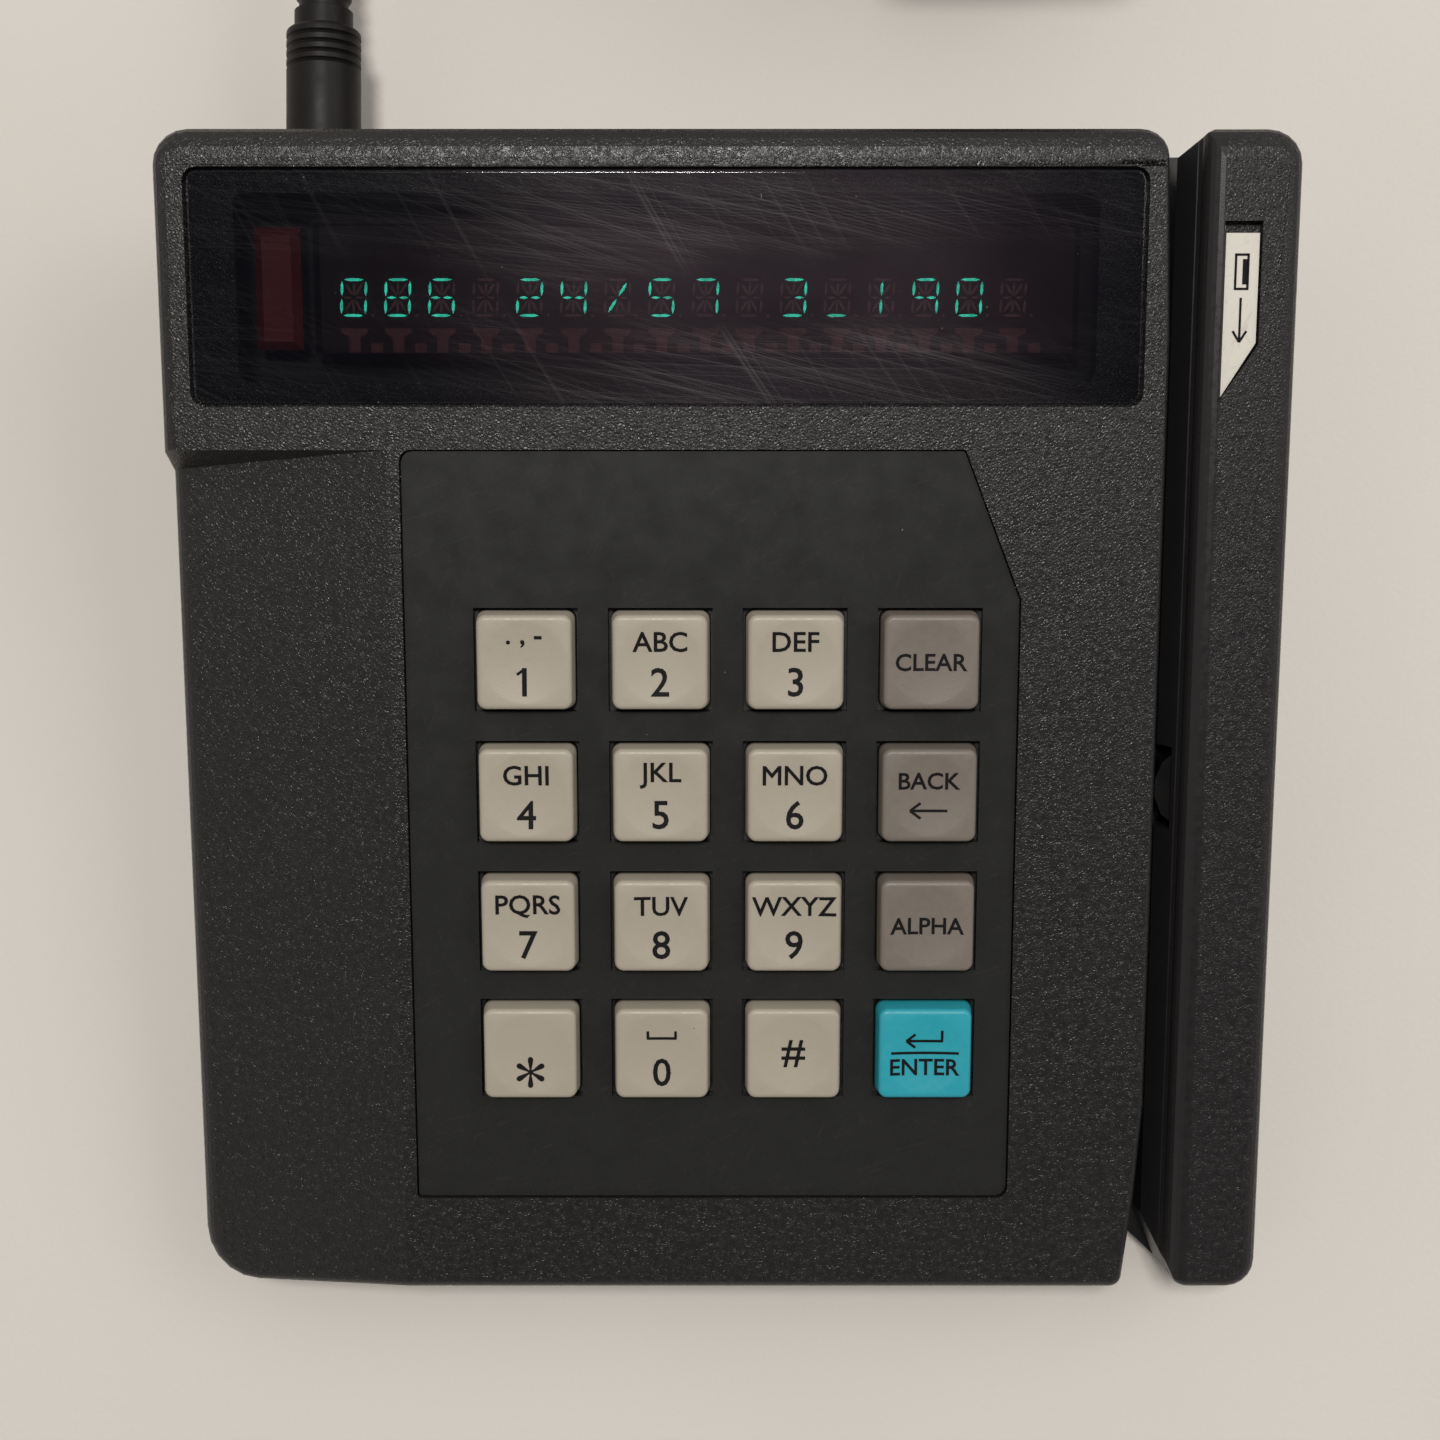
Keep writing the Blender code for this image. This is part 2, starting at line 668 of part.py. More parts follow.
def slot_side(inset):
    """Corners of the case's wall along the swipe slot, front to rear, with a lead-in at each end."""
    straight = HALF_LENGTH - SLOT_LEAD_LENGTH
    end = SLOT_RIGHT - SLOT_END_LEAD - inset
    led = SLOT_RIGHT - SLOT_LEAD - inset
    return [
        (end, -HALF_LENGTH + inset, max(FRONT_SLOT_RADIUS - inset, 0)),
        (led, -HALF_LENGTH + SLOT_LEAD_LENGTH / 2, 0),
        (SLOT_RIGHT - inset, -straight, 0),
        (SLOT_RIGHT - inset, straight, 0),
        (led, HALF_LENGTH - inset, max(REAR_SLOT_RADIUS - inset, 0)),
    ]


def case_form(inset, below, low):
    """The wedge of the case, or its hollow when inset, with the palm slope on its left."""
    left = inset - HALF_WIDTH
    hinge = -PALM_HINGE_LEFT
    rear = PALM_REAR + inset
    run = PALM_RISER_RUN * (hinge - left) / (hinge + HALF_WIDTH)
    corners = [
        (left, -HALF_LENGTH + inset, FRONT_LEFT_RADIUS - inset),
        (hinge, -HALF_LENGTH + inset, 0),
        *slot_side(inset),
        (left, HALF_LENGTH - inset, REAR_LEFT_RADIUS - inset),
        (left, rear, 0),
        (left, rear - run, 0),
    ]
    high = deck_height(HALF_LENGTH)
    outline = rounded(corners, RIM_STEPS)
    shape = lofted([(outline, low), (outline, high)])
    slope = PALM_DROP / (HALF_WIDTH - PALM_HINGE_LEFT)
    upper = [vert for vert in shape.verts if vert.co.z > high - WELD]
    for vert in upper:
        on_palm = vert.co.y < rear - run / 2
        drop = slope * max(hinge - vert.co.x, 0) if on_palm else 0
        vert.co.z = deck_height(vert.co.y, below) - drop
    split_palm(shape, [(hinge, -HALF_LENGTH + inset), (left, rear - run), (left, rear)], (hinge, rear), below)
    return shape


def nearest(shape, place):
    return min(shape.verts, key=lambda vert: (vert.co - place).length)


def split_palm(shape, ends, crease, below):
    """Creases the top face along the palm's hinge and around its riser."""
    front, foot, top = (
        min(shape.verts, key=lambda vert: ((vert.co.xy - Vector(end)).length > WELD, -vert.co.z)) for end in ends
    )
    middle = Vector((*crease, deck_height(crease[1], below)))
    lid = next(face for face in top.link_faces if front in face.verts and foot in face.verts)
    bmesh.utils.face_split(lid, front, foot, coords=[middle])
    bmesh.ops.connect_verts(shape, verts=[nearest(shape, middle), top])


def rim_radii(shape, west, east, south, north):
    """Marks the upper rim for its bevel, each side with its own radius."""
    layer = shape.edges.layers.float.new("bevel_weight_edge")
    largest = max(west, east, south, north)
    for edge in shape.edges:
        walls = [face.normal for face in edge.link_faces if abs(face.normal.z) < WELD]
        tops = [face for face in edge.link_faces if face.normal.z > 0.1]
        if len(walls) == 1 and len(tops) == 1:
            across = east if walls[0].x > 0 else west
            lengthwise = north if walls[0].y > 0 else south
            radius = walls[0].x ** 2 * across + walls[0].y ** 2 * lengthwise
            edge[layer] = radius / largest
    return largest


def round_rim(part, width):
    step = part.modifiers.new("rim", "BEVEL")
    step.limit_method = "WEIGHT"
    step.width = width
    step.segments = RIM_STEPS
    step.use_clamp_overlap = False


def part_with_rim(name, shape, kind, west, east, south, north):
    bmesh.ops.recalc_face_normals(shape, faces=shape.faces)
    width = rim_radii(shape, west, east, south, north)
    part = add_part(name, shape, kind)
    round_rim(part, width)
    return part


# Upper case
def lens_outline(grow=0):
    return rectangle(
        -LENS_LEFT - grow, LENS_RIGHT + grow, LENS_FRONT - grow, LENS_REAR + grow, LENS_RADIUS + grow
    )


def bezel_outline(grow=0):
    """The keypad plate's outline, with its rear slot-side corner taken off at a slant."""
    return rounded([
        (-BEZEL_LEFT - grow, BEZEL_FRONT - grow, BEZEL_SHARP_CORNER),
        (BEZEL_RIGHT + grow, BEZEL_FRONT - grow, BEZEL_CORNER),
        (BEZEL_RIGHT + grow, BEZEL_CHAMFER_ALONG + grow / 2, BEZEL_SHARP_CORNER),
        (BEZEL_CHAMFER_RIGHT + grow / 2, BEZEL_REAR + grow, BEZEL_SHARP_CORNER),
        (-BEZEL_LEFT - grow, BEZEL_REAR + grow, BEZEL_CORNER),
    ])


def case_bosses():
    """Places of the four case screws, in plan."""
    across = (-CASE_BOSS_SIDE, CASE_BOSS_RIGHT)
    return [(x, y) for y in (-CASE_BOSS_FRONT, CASE_BOSS_REAR) for x in across]


def display_posts():
    """Places of the display board's posts, across and along the deck."""
    across = (DISPLAY_POST_INSET - DISPLAY_BOARD_LEFT, DISPLAY_BOARD_RIGHT - DISPLAY_POST_INSET)
    along = (TUBE_CENTRE_ALONG - DISPLAY_POST_SPREAD, TUBE_CENTRE_ALONG + DISPLAY_POST_SPREAD)
    return [(x, y) for y in along for x in across]


TUBE_BOTTOM = TUBE_TOP + TUBE_HEIGHT
DISPLAY_BOARD_TOP = TUBE_BOTTOM + FIT + TUBE_PLATE + PIN_LENGTH
JACKS = [(i - (JACK_COUNT - 1) / 2) * JACK_PITCH - JACKS_MIDDLE_LEFT for i in range(JACK_COUNT)]
JACKS_LOW = JACKS[0] - JACK_WIDTH / 2
JACKS_HIGH = JACKS[-1] + JACK_WIDTH / 2
JACK_BOTTOM = PARTING_HEIGHT + FIT / 2
JACK_FACE = HALF_LENGTH - JACK_SETBACK


def port_cuts():
    """Notches in the rear wall for the ports, open at the parting line."""
    serial = SERIAL_RADIUS + SERIAL_RING
    spans = [(JACKS_LOW, JACKS_HIGH), (SERIAL_PORT_RIGHT - serial, SERIAL_PORT_RIGHT + serial)]
    shapes = [
        box(
            start - FIT, end + FIT, HALF_LENGTH - WALL - CUT, HALF_LENGTH + CUT,
            PARTING_HEIGHT - CUT, JACK_BOTTOM + JACK_HEIGHT + FIT,
        )
        for start, end in spans
    ]
    hole = cylinder(POWER_BORE_RADIUS + FIT, -WALL - CUT, WALL + CUT)
    turn = Matrix.Translation((-POWER_PLUG_LEFT, HALF_LENGTH, POWER_AXIS_HEIGHT)) @ Matrix.Rotation(math.pi / 2, 4, "X")
    return joined([*shapes, reshaped(hole, turn)])


def build_upper_case():
    low = PARTING_HEIGHT + FIT / 2
    part = part_with_rim(
        "upper_case", case_form(0, 0, low), "case",
        SIDE_TOP_RADIUS, SLOT_TOP_RADIUS, FRONT_TOP_RADIUS, REAR_TOP_RADIUS,
    )
    cut(part, case_form(WALL, DECK_WALL, low - CUT))
    lens_floor = -LENS_BELOW_DECK - LENS_THICKNESS - FIT
    bezel_floor = -BEZEL_BELOW_DECK - BEZEL_THICKNESS - FIT
    cut(part, in_world(joined([
        slab(lens_outline(FIT), lens_floor, CUT),
        slab(bezel_outline(BEZEL_FIT), bezel_floor, CUT),
    ])))
    window = rectangle(
        WINDOW_SIDE_MARGIN - LENS_LEFT, LENS_RIGHT - WINDOW_SIDE_MARGIN,
        LENS_FRONT + WINDOW_MARGIN, LENS_REAR - WINDOW_MARGIN, LENS_RADIUS,
    )
    cut(part, in_world(joined([
        slab(window, -DECK_WALL - CUT, lens_floor + CUT / 4),
        slab(bezel_outline(-BEZEL_LEDGE), -DECK_WALL - CUT, bezel_floor + CUT / 4),
    ])))
    cut(part, port_cuts())
    join(part, joined(upper_bosses()))
    join(part, joined(boss_webs()))
    join(part, in_world(joined(stakes(display_posts(), POST_RADIUS, -DECK_WALL + FIT, -DISPLAY_BOARD_TOP + FIT))))
    cut(part, joined([
        cylinder(CASE_SCREW_RADIUS + FIT, BASE_TOP - CUT, BASE_TOP + CASE_SCREW_LENGTH, x, y, SMALL_SIDES)
        for x, y in case_bosses()
    ]))
    return part


def upper_bosses():
    """Screw bosses: the front two hang from the deck, the rear two stand off the rear wall below the display."""
    low = BASE_TOP + FIT
    slope = PALM_DROP / (HALF_WIDTH - PALM_HINGE_LEFT)
    shapes = []
    for x, y in case_bosses():
        if y < 0:
            drop = slope * max(-PALM_HINGE_LEFT - x, 0)
            boss = cylinder(CASE_BOSS_RADIUS, low, deck_height(HALF_LENGTH), x, y, SMALL_SIDES)
            ceiling = deck_height(-HALF_LENGTH, DECK_WALL - FIT) - drop
            shapes.append(trimmed(boss, (0, -HALF_LENGTH, ceiling), DECK_NORMAL))
        else:
            high = low + REAR_BOSS_HEIGHT
            shapes.append(cylinder(CASE_BOSS_RADIUS, low, high, x, y, SMALL_SIDES))
    return shapes


def boss_webs():
    """Ribs from the rear bosses to the rear wall."""
    half = REAR_BOSS_WEB / 2
    low = PARTING_HEIGHT + 2 * FIT
    high = BASE_TOP + REAR_BOSS_HEIGHT - FIT
    return [
        box(x - half, x + half, y + CASE_BOSS_RADIUS - REAR_BOSS_WEB / 2, HALF_LENGTH - WALL / 2, low, high)
        for x, y in case_bosses() if y > 0
    ]


# Reader rail and swipe slot
def rail_form(inset, below, low):
    """The rail's housing, or its hollow when inset, cut off at a slant at the front of the slot."""
    left = SLOT_RIGHT + FIT + inset
    right = HALF_WIDTH - inset
    front = inset - HALF_LENGTH
    rear = HALF_LENGTH - inset
    setback = TRACK_NOTCH - inset * (2 - math.sqrt(2))
    outline = rounded([
        (left + setback, front, RAIL_NOSE_RADIUS - inset),
        (right, front, RAIL_FRONT_RADIUS - inset),
        (right, rear, RAIL_REAR_RADIUS - inset),
        (left, rear, 0),
        (left, front + setback, 0),
    ], RIM_STEPS)
    high = deck_height(HALF_LENGTH)
    shape = lofted([(outline, low), (outline, high)])
    for vert in shape.verts:
        if vert.co.z > high - WELD:
            vert.co.z = deck_height(vert.co.y, below)
    return shape


SLOT_OUTER = SLOT_RIGHT + SLOT_WIDTH
SLOT_MOUTH_RIGHT = SLOT_RIGHT + SLOT_MOUTH
RAIL_NOSE = (SLOT_RIGHT + FIT + TRACK_NOTCH, -HALF_LENGTH, 0)
STRIP_RIGHT = SLOT_RIGHT + FIT + FLOOR_STRIP_WIDTH
STRIP_BOTTOM = SLOT_DEPTH + FLOOR_STRIP_THICKNESS
TRACK_BOTTOM = SLOT_DEPTH - FIT
TRACK_SHELF = DECK_WALL + FIT


def track_section():
    """The smooth inner wall of the rail under its cover, down to the slot floor."""
    return [
        (throat_wall(TRACK_SHELF), -TRACK_SHELF),
        (SLOT_OUTER, -SLOT_THROAT_DEPTH),
        (SLOT_OUTER, -TRACK_BOTTOM),
        (STRIP_RIGHT, -TRACK_BOTTOM),
        (STRIP_RIGHT, -TRACK_SHELF),
    ]


def throat_wall(depth):
    """How far right the slanted wall of the throat is, at a depth below the deck."""
    share = (depth - SLOT_BEVEL_DEPTH) / (SLOT_THROAT_DEPTH - SLOT_BEVEL_DEPTH)
    return SLOT_RIGHT + SLOT_BEVEL_OUT + share * (SLOT_WIDTH - SLOT_BEVEL_OUT)


def shoulder():
    """The cover's round edge over the throat, as a quarter of an ellipse from its foot to the deck."""
    reach = SHOULDER_REACH - SLOT_BEVEL_OUT
    turns = [math.pi / 2 * i / SHOULDER_STEPS for i in range(SHOULDER_STEPS + 1)]
    return [
        (SLOT_RIGHT + SHOULDER_REACH - reach * math.cos(turn), SLOT_BEVEL_DEPTH * (math.sin(turn) - 1))
        for turn in turns
    ]


def end_trimmed(shape):
    """A rail piece cut flush with the housing's ends and its slanted, rounded front corner."""
    shape = trimmed(shape, (0, HALF_LENGTH - FIT, 0), (0, 1, 0))
    shape = trimmed(shape, (0, -HALF_LENGTH, 0), (0, -1, 0))
    shape = trimmed(shape, RAIL_NOSE, (-1, -1, 0))
    half = math.pi / 8
    setback = RAIL_NOSE_RADIUS * (1 / math.cos(half) - 1)
    outward = Vector((-math.sin(half), -math.cos(half), 0))
    return trimmed(shape, Vector(RAIL_NOSE) - setback * outward, outward)


def build_card_track():
    """The reader's side of the slot, flared at both ends, with a window for the reader head."""
    bar = in_world(along_deck(track_section(), -SLOT_DEPTH, DECK_LENGTH + SLOT_DEPTH))
    part = add_part("card_track", end_trimmed(bar), "case_smooth")
    cut(part, flares())
    cut(part, in_world(head_window(HEAD_WINDOW_MARGIN)))


def flares():
    """What the slot's two widened ends take from the rail, down to the slot's floor."""
    shapes = joined([
        flare_cutter(-HALF_LENGTH, TRACK_FLARE_FRONT),
        flare_cutter(HALF_LENGTH, -TRACK_FLARE_REAR),
    ])
    return trimmed(shapes, (0, -HALF_LENGTH, deck_height(-HALF_LENGTH, STRIP_BOTTOM + 2 * FIT)), -DECK_NORMAL)


def flare_cutter(end, length):
    """A three-sided prism that widens the slot towards one of its ends."""
    spread = SLOT_MOUTH_RIGHT - SLOT_OUTER
    beyond = -length / abs(length) * CUT
    slope = spread / length
    outline = [
        (SLOT_OUTER - FIT, end + length),
        (SLOT_OUTER - FIT, end + beyond),
        (SLOT_OUTER + slope * (length - beyond), end + beyond),
    ]
    return slab(outline, FOOT_HEIGHT, deck_height(HALF_LENGTH) + CUT)


def head_window(margin):
    """The opening in the track for the reader head, with a margin on each side."""
    middle = HEAD_ABOVE_FLOOR - SLOT_DEPTH
    return box(
        SLOT_OUTER - CUT, STRIP_RIGHT + CUT,
        HEAD_ALONG - HEAD_LENGTH / 2 - margin, HEAD_ALONG + HEAD_LENGTH / 2 + margin,
        middle - HEAD_HEIGHT / 2 - margin, middle + HEAD_HEIGHT / 2 + margin,
    )


def build_slot_floor():
    """The strip that the card's edge runs on."""
    section = [
        (SLOT_RIGHT + FIT, -SLOT_DEPTH),
        (SLOT_RIGHT + FIT, -STRIP_BOTTOM),
        (STRIP_RIGHT, -STRIP_BOTTOM),
        (STRIP_RIGHT, -SLOT_DEPTH),
    ]
    shape = in_world(along_deck(section, -SLOT_DEPTH, DECK_LENGTH + SLOT_DEPTH))
    return add_part("slot_floor", end_trimmed(shape), "case_smooth")


def build_rail_cover():
    low = PARTING_HEIGHT + FIT / 2
    part = part_with_rim(
        "rail_cover", rail_form(0, 0, low), "case", 0, SIDE_TOP_RADIUS, FRONT_TOP_RADIUS, REAR_TOP_RADIUS
    )
    cut(part, rail_form(WALL, DECK_WALL, low - CUT))
    inner = STRIP_RIGHT + FIT
    section = [
        (SLOT_RIGHT - CUT, CUT),
        (SLOT_RIGHT - CUT, -STRIP_BOTTOM - FIT),
        (inner, -STRIP_BOTTOM - FIT),
        (inner, -DECK_WALL),
        (throat_wall(DECK_WALL), -DECK_WALL),
        *shoulder(),
        (SLOT_RIGHT + SHOULDER_REACH, CUT),
    ]
    cut(part, in_world(along_deck(section, -SLOT_DEPTH, DECK_LENGTH + SLOT_DEPTH)))
    cut(part, flares())
    open_side = box(
        SLOT_RIGHT - CUT, SLOT_RIGHT + FIT + RIB_WALL + 2 * FIT,
        -HALF_LENGTH + TRACK_NOTCH + 2 * WALL, HALF_LENGTH - WALL, low - CUT, deck_height(HALF_LENGTH),
    )
    cut(part, open_side)
    cut(part, in_world(slab(label_outline(FIT, LABEL_GAP), -LABEL_BELOW_DECK - LABEL_THICKNESS - FIT, CUT)))
    join(part, in_world(head_stakes()))
    return part


def label_outline(grow, gap):
    """A pennant: square at its rear end, slanted to a point at its front."""
    left = LABEL_LEFT - grow
    right = LABEL_LEFT + LABEL_WIDTH + grow
    return [
        (left, LABEL_REAR - LABEL_LENGTH - 2 * grow),
        (right, LABEL_REAR - LABEL_SHORT_SIDE - grow),
        (right, LABEL_REAR + grow + gap),
        (left, LABEL_REAR + grow + gap),
    ]


def build_label():
    shape = slab(label_outline(0, 0), -LABEL_BELOW_DECK - LABEL_THICKNESS, -LABEL_BELOW_DECK)
    return add_part("direction_label", shape, "label_white", DECK)


# Base, feet and rating plate
def base_outline():
    """The whole footprint, with the notch at the front end of the swipe slot."""
    notch = -HALF_LENGTH + TRACK_NOTCH
    right = HALF_WIDTH
    return rounded([
        (-right, -HALF_LENGTH, FRONT_LEFT_RADIUS),
        (SLOT_RIGHT - SLOT_END_LEAD, -HALF_LENGTH, FRONT_SLOT_RADIUS),
        (SLOT_RIGHT - SLOT_LEAD, notch + SLOT_LEAD, 0),
        (SLOT_RIGHT + FIT + TRACK_NOTCH, -HALF_LENGTH, RAIL_NOSE_RADIUS),
        (right, -HALF_LENGTH, RAIL_FRONT_RADIUS),
        (right, HALF_LENGTH, RAIL_REAR_RADIUS),
        (-right, HALF_LENGTH, REAR_LEFT_RADIUS),
    ], RIM_STEPS)


BASE_RIM = PARTING_HEIGHT - FIT / 2
RIB_LEFT = SLOT_RIGHT + FIT
RIB_RIGHT = RIB_LEFT + RIB_WALL
BODY_INNER_RIGHT = SLOT_RIGHT - SLOT_END_LEAD - WALL


CORNERS = ("front_left", "front_right", "rear_left", "rear_right")


def feet_places():
    side = HALF_WIDTH - FOOT_INSET
    end = HALF_LENGTH - FOOT_INSET
    return [(x, y) for y in (-end, end) for x in (-side, side)]


def board_posts():
    """Places of the main board's four posts, in plan."""
    across = (BOARD_POST_INSET - MAIN_BOARD_LEFT, MAIN_BOARD_RIGHT - BOARD_POST_INSET)
    along = (BOARD_POST_INSET - MAIN_BOARD_FRONT, MAIN_BOARD_REAR - 4 * BOARD_POST_INSET)
    return [(x, y) for y in along for x in across]


def base_hollows():
    """The tray under the body and the one under the rail, and the way between them for a cable."""
    inner = HALF_LENGTH - WALL
    body = rectangle(WALL - HALF_WIDTH, BODY_INNER_RIGHT, -inner, inner, REAR_LEFT_RADIUS - WALL)
    rail = rounded([
        (RIB_RIGHT, -inner + TRACK_NOTCH, 0),
        (RIB_RIGHT + TRACK_NOTCH, -inner, 0),
        (HALF_WIDTH - WALL, -inner, RAIL_FRONT_RADIUS - WALL),
        (HALF_WIDTH - WALL, inner, RAIL_REAR_RADIUS - WALL),
        (RIB_RIGHT, inner, 0),
    ])
    return joined([slab(body, BASE_TOP, BASE_RIM + CUT), slab(rail, BASE_TOP, BASE_RIM + CUT)])


def cable_way():
    middle = head_place().y
    return box(
        BODY_INNER_RIGHT - CUT, RIB_RIGHT + CUT, middle - CABLE_NOTCH_LENGTH / 2, middle + CABLE_NOTCH_LENGTH / 2,
        BASE_TOP + 2 * FIT, BASE_TOP + CABLE_NOTCH_HEIGHT,
    )


def slot_rib():
    """The wall that stands on the base under the slot's floor strip."""
    rib = box(
        RIB_LEFT, RIB_RIGHT, -HALF_LENGTH + TRACK_NOTCH + 2 * WALL + FIT, HALF_LENGTH - WALL - FIT,
        BASE_TOP - FIT, deck_height(HALF_LENGTH),
    )
    return trimmed(rib, (0, -HALF_LENGTH, deck_height(-HALF_LENGTH, STRIP_BOTTOM + FIT)), DECK_NORMAL)


def slot_clearance():
    """The room over the slot's floor strip, between the body's wall and the rail's."""
    wall = [(x, y) for x, y, _ in slot_side(FIT)]
    beyond = HALF_LENGTH + CUT
    right = STRIP_RIGHT + FIT
    outline = [(wall[0][0], -beyond), *wall, (wall[-1][0], beyond), (right, beyond), (right, -beyond)]
    floor = (0, -HALF_LENGTH, deck_height(-HALF_LENGTH, STRIP_BOTTOM + 2 * FIT))
    return trimmed(slab(outline, FOOT_HEIGHT, deck_height(HALF_LENGTH)), floor, -DECK_NORMAL)


def build_base():
    shape = slab(base_outline(), FOOT_HEIGHT, BASE_RIM)
    bmesh.ops.dissolve_edges(shape, edges=inner_edges(shape))
    lower = [edge for edge in shape.edges if all(vert.co.z < FOOT_HEIGHT + WELD for vert in edge.verts)]
    bevel_edges(shape, lower, BASE_EDGE_RADIUS, 2)
    part = add_part("base_case", shape, "case")
    cut(part, base_hollows())
    cut(part, slot_clearance())
    join(part, slot_rib())
    cut(part, cable_way())
    join(part, joined(stakes(board_posts(), BOARD_POST_RADIUS, BASE_TOP - FIT, BOARD_BOTTOM - FIT)))
    cut(part, joined([
        cylinder(CASE_SCREW_RADIUS + FIT, FOOT_HEIGHT - CUT, BASE_TOP + CUT, x, y, SMALL_SIDES)
        for x, y in case_bosses()
    ]))
    recesses = [
        cylinder(CASE_SCREW_HEAD_RADIUS + FIT, FOOT_HEIGHT - CUT, FOOT_HEIGHT + COUNTERBORE_DEPTH, x, y)
        for x, y in case_bosses()
    ]
    recesses += [
        cylinder(FOOT_RADIUS + FIT, FOOT_HEIGHT - CUT, FOOT_HEIGHT + FOOT_SEAT, x, y, 2 * SMALL_SIDES)
        for x, y in feet_places()
    ]
    cut(part, joined(recesses))


def build_feet():
    high = FOOT_HEIGHT + FOOT_SEAT - FIT
    profile = [(0, 0), (FOOT_RADIUS - FOOT_EDGE, 0), (FOOT_RADIUS, FOOT_EDGE), (FOOT_RADIUS, high), (0, high)]
    for corner, (x, y) in zip(CORNERS, feet_places()):
        foot = add_part(f"foot_{corner}", turned(profile, 2 * SMALL_SIDES), "rubber_black")
        foot.location = (x, y, 0)


# Case screws, head down in the base
def build_case_screws():
    seat = FOOT_HEIGHT + COUNTERBORE_DEPTH - FIT
    length = BASE_TOP - seat + CASE_SCREW_LENGTH - 2 * FIT
    radius, head, height = CASE_SCREW_RADIUS, CASE_SCREW_HEAD_RADIUS, SCREW_HEAD_HEIGHT
    profile = [
        (0, -height), (head - height / 3, -height), (head, -height / 2), (head, 0),
        (radius, 0), (radius, length), (0, length),
    ]
    for corner, (x, y) in zip(CORNERS, case_bosses()):
        screw = add_part(f"case_screw_{corner}", turned(profile, SMALL_SIDES), "metal")
        screw.location = (x, y, seat)


def peg_holes(places):
    return [circle(PEG_RADIUS + FIT, SMALL_SIDES, x, y) for x, y in places]


# Keypad
KEY_NAMES = (
    ("key_1", "key_2", "key_3", "key_clear"),
    ("key_4", "key_5", "key_6", "key_back"),
    ("key_7", "key_8", "key_9", "key_alpha"),
    ("key_star", "key_0", "key_hash", "key_enter"),
)
KEY_KINDS = {"key_clear": "key_taupe", "key_back": "key_taupe", "key_alpha": "key_taupe", "key_enter": "key_cyan"}
BEZEL_BOTTOM = BEZEL_BELOW_DECK + BEZEL_THICKNESS
FLANGE_BOTTOM = BEZEL_BOTTOM + FIT + KEY_FLANGE_THICKNESS
DOME_TOP = FLANGE_BOTTOM + KEY_STEM_LENGTH + FIT
MAT_TOP = DOME_TOP + DOME_HEIGHT
KEYPAD_BOARD_TOP = MAT_TOP + MAT_THICKNESS + FIT


def key_places():
    """Each key's name and place across and along the deck."""
    middle = (len(KEY_NAMES) - 1) / 2
    places = {}
    for row, names in enumerate(KEY_NAMES):
        for column, name in enumerate(names):
            x = KEYPAD_CENTRE_RIGHT + (column - middle) * KEY_PITCH
            y = KEYPAD_CENTRE_ALONG + (middle - row) * KEY_PITCH
            places[name] = (x, y)
    return places


def keypad_posts():
    along = (KEYPAD_CENTRE_ALONG - KEYPAD_POST_ALONG, KEYPAD_CENTRE_ALONG + KEYPAD_POST_ALONG)
    return [(x, y) for y in along for x in (-KEYPAD_POST_RIGHT, KEYPAD_POST_RIGHT)]


def square(side, radius):
    """A centred rounded square, or a round outline of as many points, for a key."""
    half = side / 2
    return rectangle(-half, half, -half, half, radius)


def key_ring(radius):
    sides = 4 * (ARC_STEPS + 1)
    phase = math.radians(225) - math.pi * ARC_STEPS / sides
    turns = [phase + 2 * math.pi * i / sides for i in range(sides)]
    return [(radius * math.cos(turn), radius * math.sin(turn)) for turn in turns]


def key_shape():
    """A key cap: stem, retaining flange, tapered sides, softened top edge and a round dish."""
    top = KEY_RISE - BEZEL_BELOW_DECK
    return lofted([
        (square(KEY_STEM, KEY_EDGE), -FLANGE_BOTTOM - KEY_STEM_LENGTH),
        (square(KEY_STEM, KEY_EDGE), -FLANGE_BOTTOM),
        (square(KEY_FLANGE, KEY_EDGE), -FLANGE_BOTTOM),
        (square(KEY_FLANGE, KEY_EDGE), -BEZEL_BOTTOM - FIT),
        (square(KEY_BASE, KEY_CORNER), -BEZEL_BOTTOM - FIT),
        (square(KEY_BASE, KEY_CORNER), -BEZEL_BELOW_DECK),
        (square(KEY_TOP, KEY_CORNER), top - KEY_EDGE),
        (square(KEY_TOP - 2 * KEY_EDGE, KEY_CORNER - KEY_EDGE / 2), top),
        (key_ring(KEY_DISH_RADIUS), top),
        (key_ring(KEY_DISH_RADIUS / 2), top - KEY_DISH_DEPTH),
    ])


def build_keys():
    for name, (x, y) in key_places().items():
        key = add_part(name, key_shape(), KEY_KINDS.get(name, "key_grey"), DECK)
        key.location = (x, y, 0)


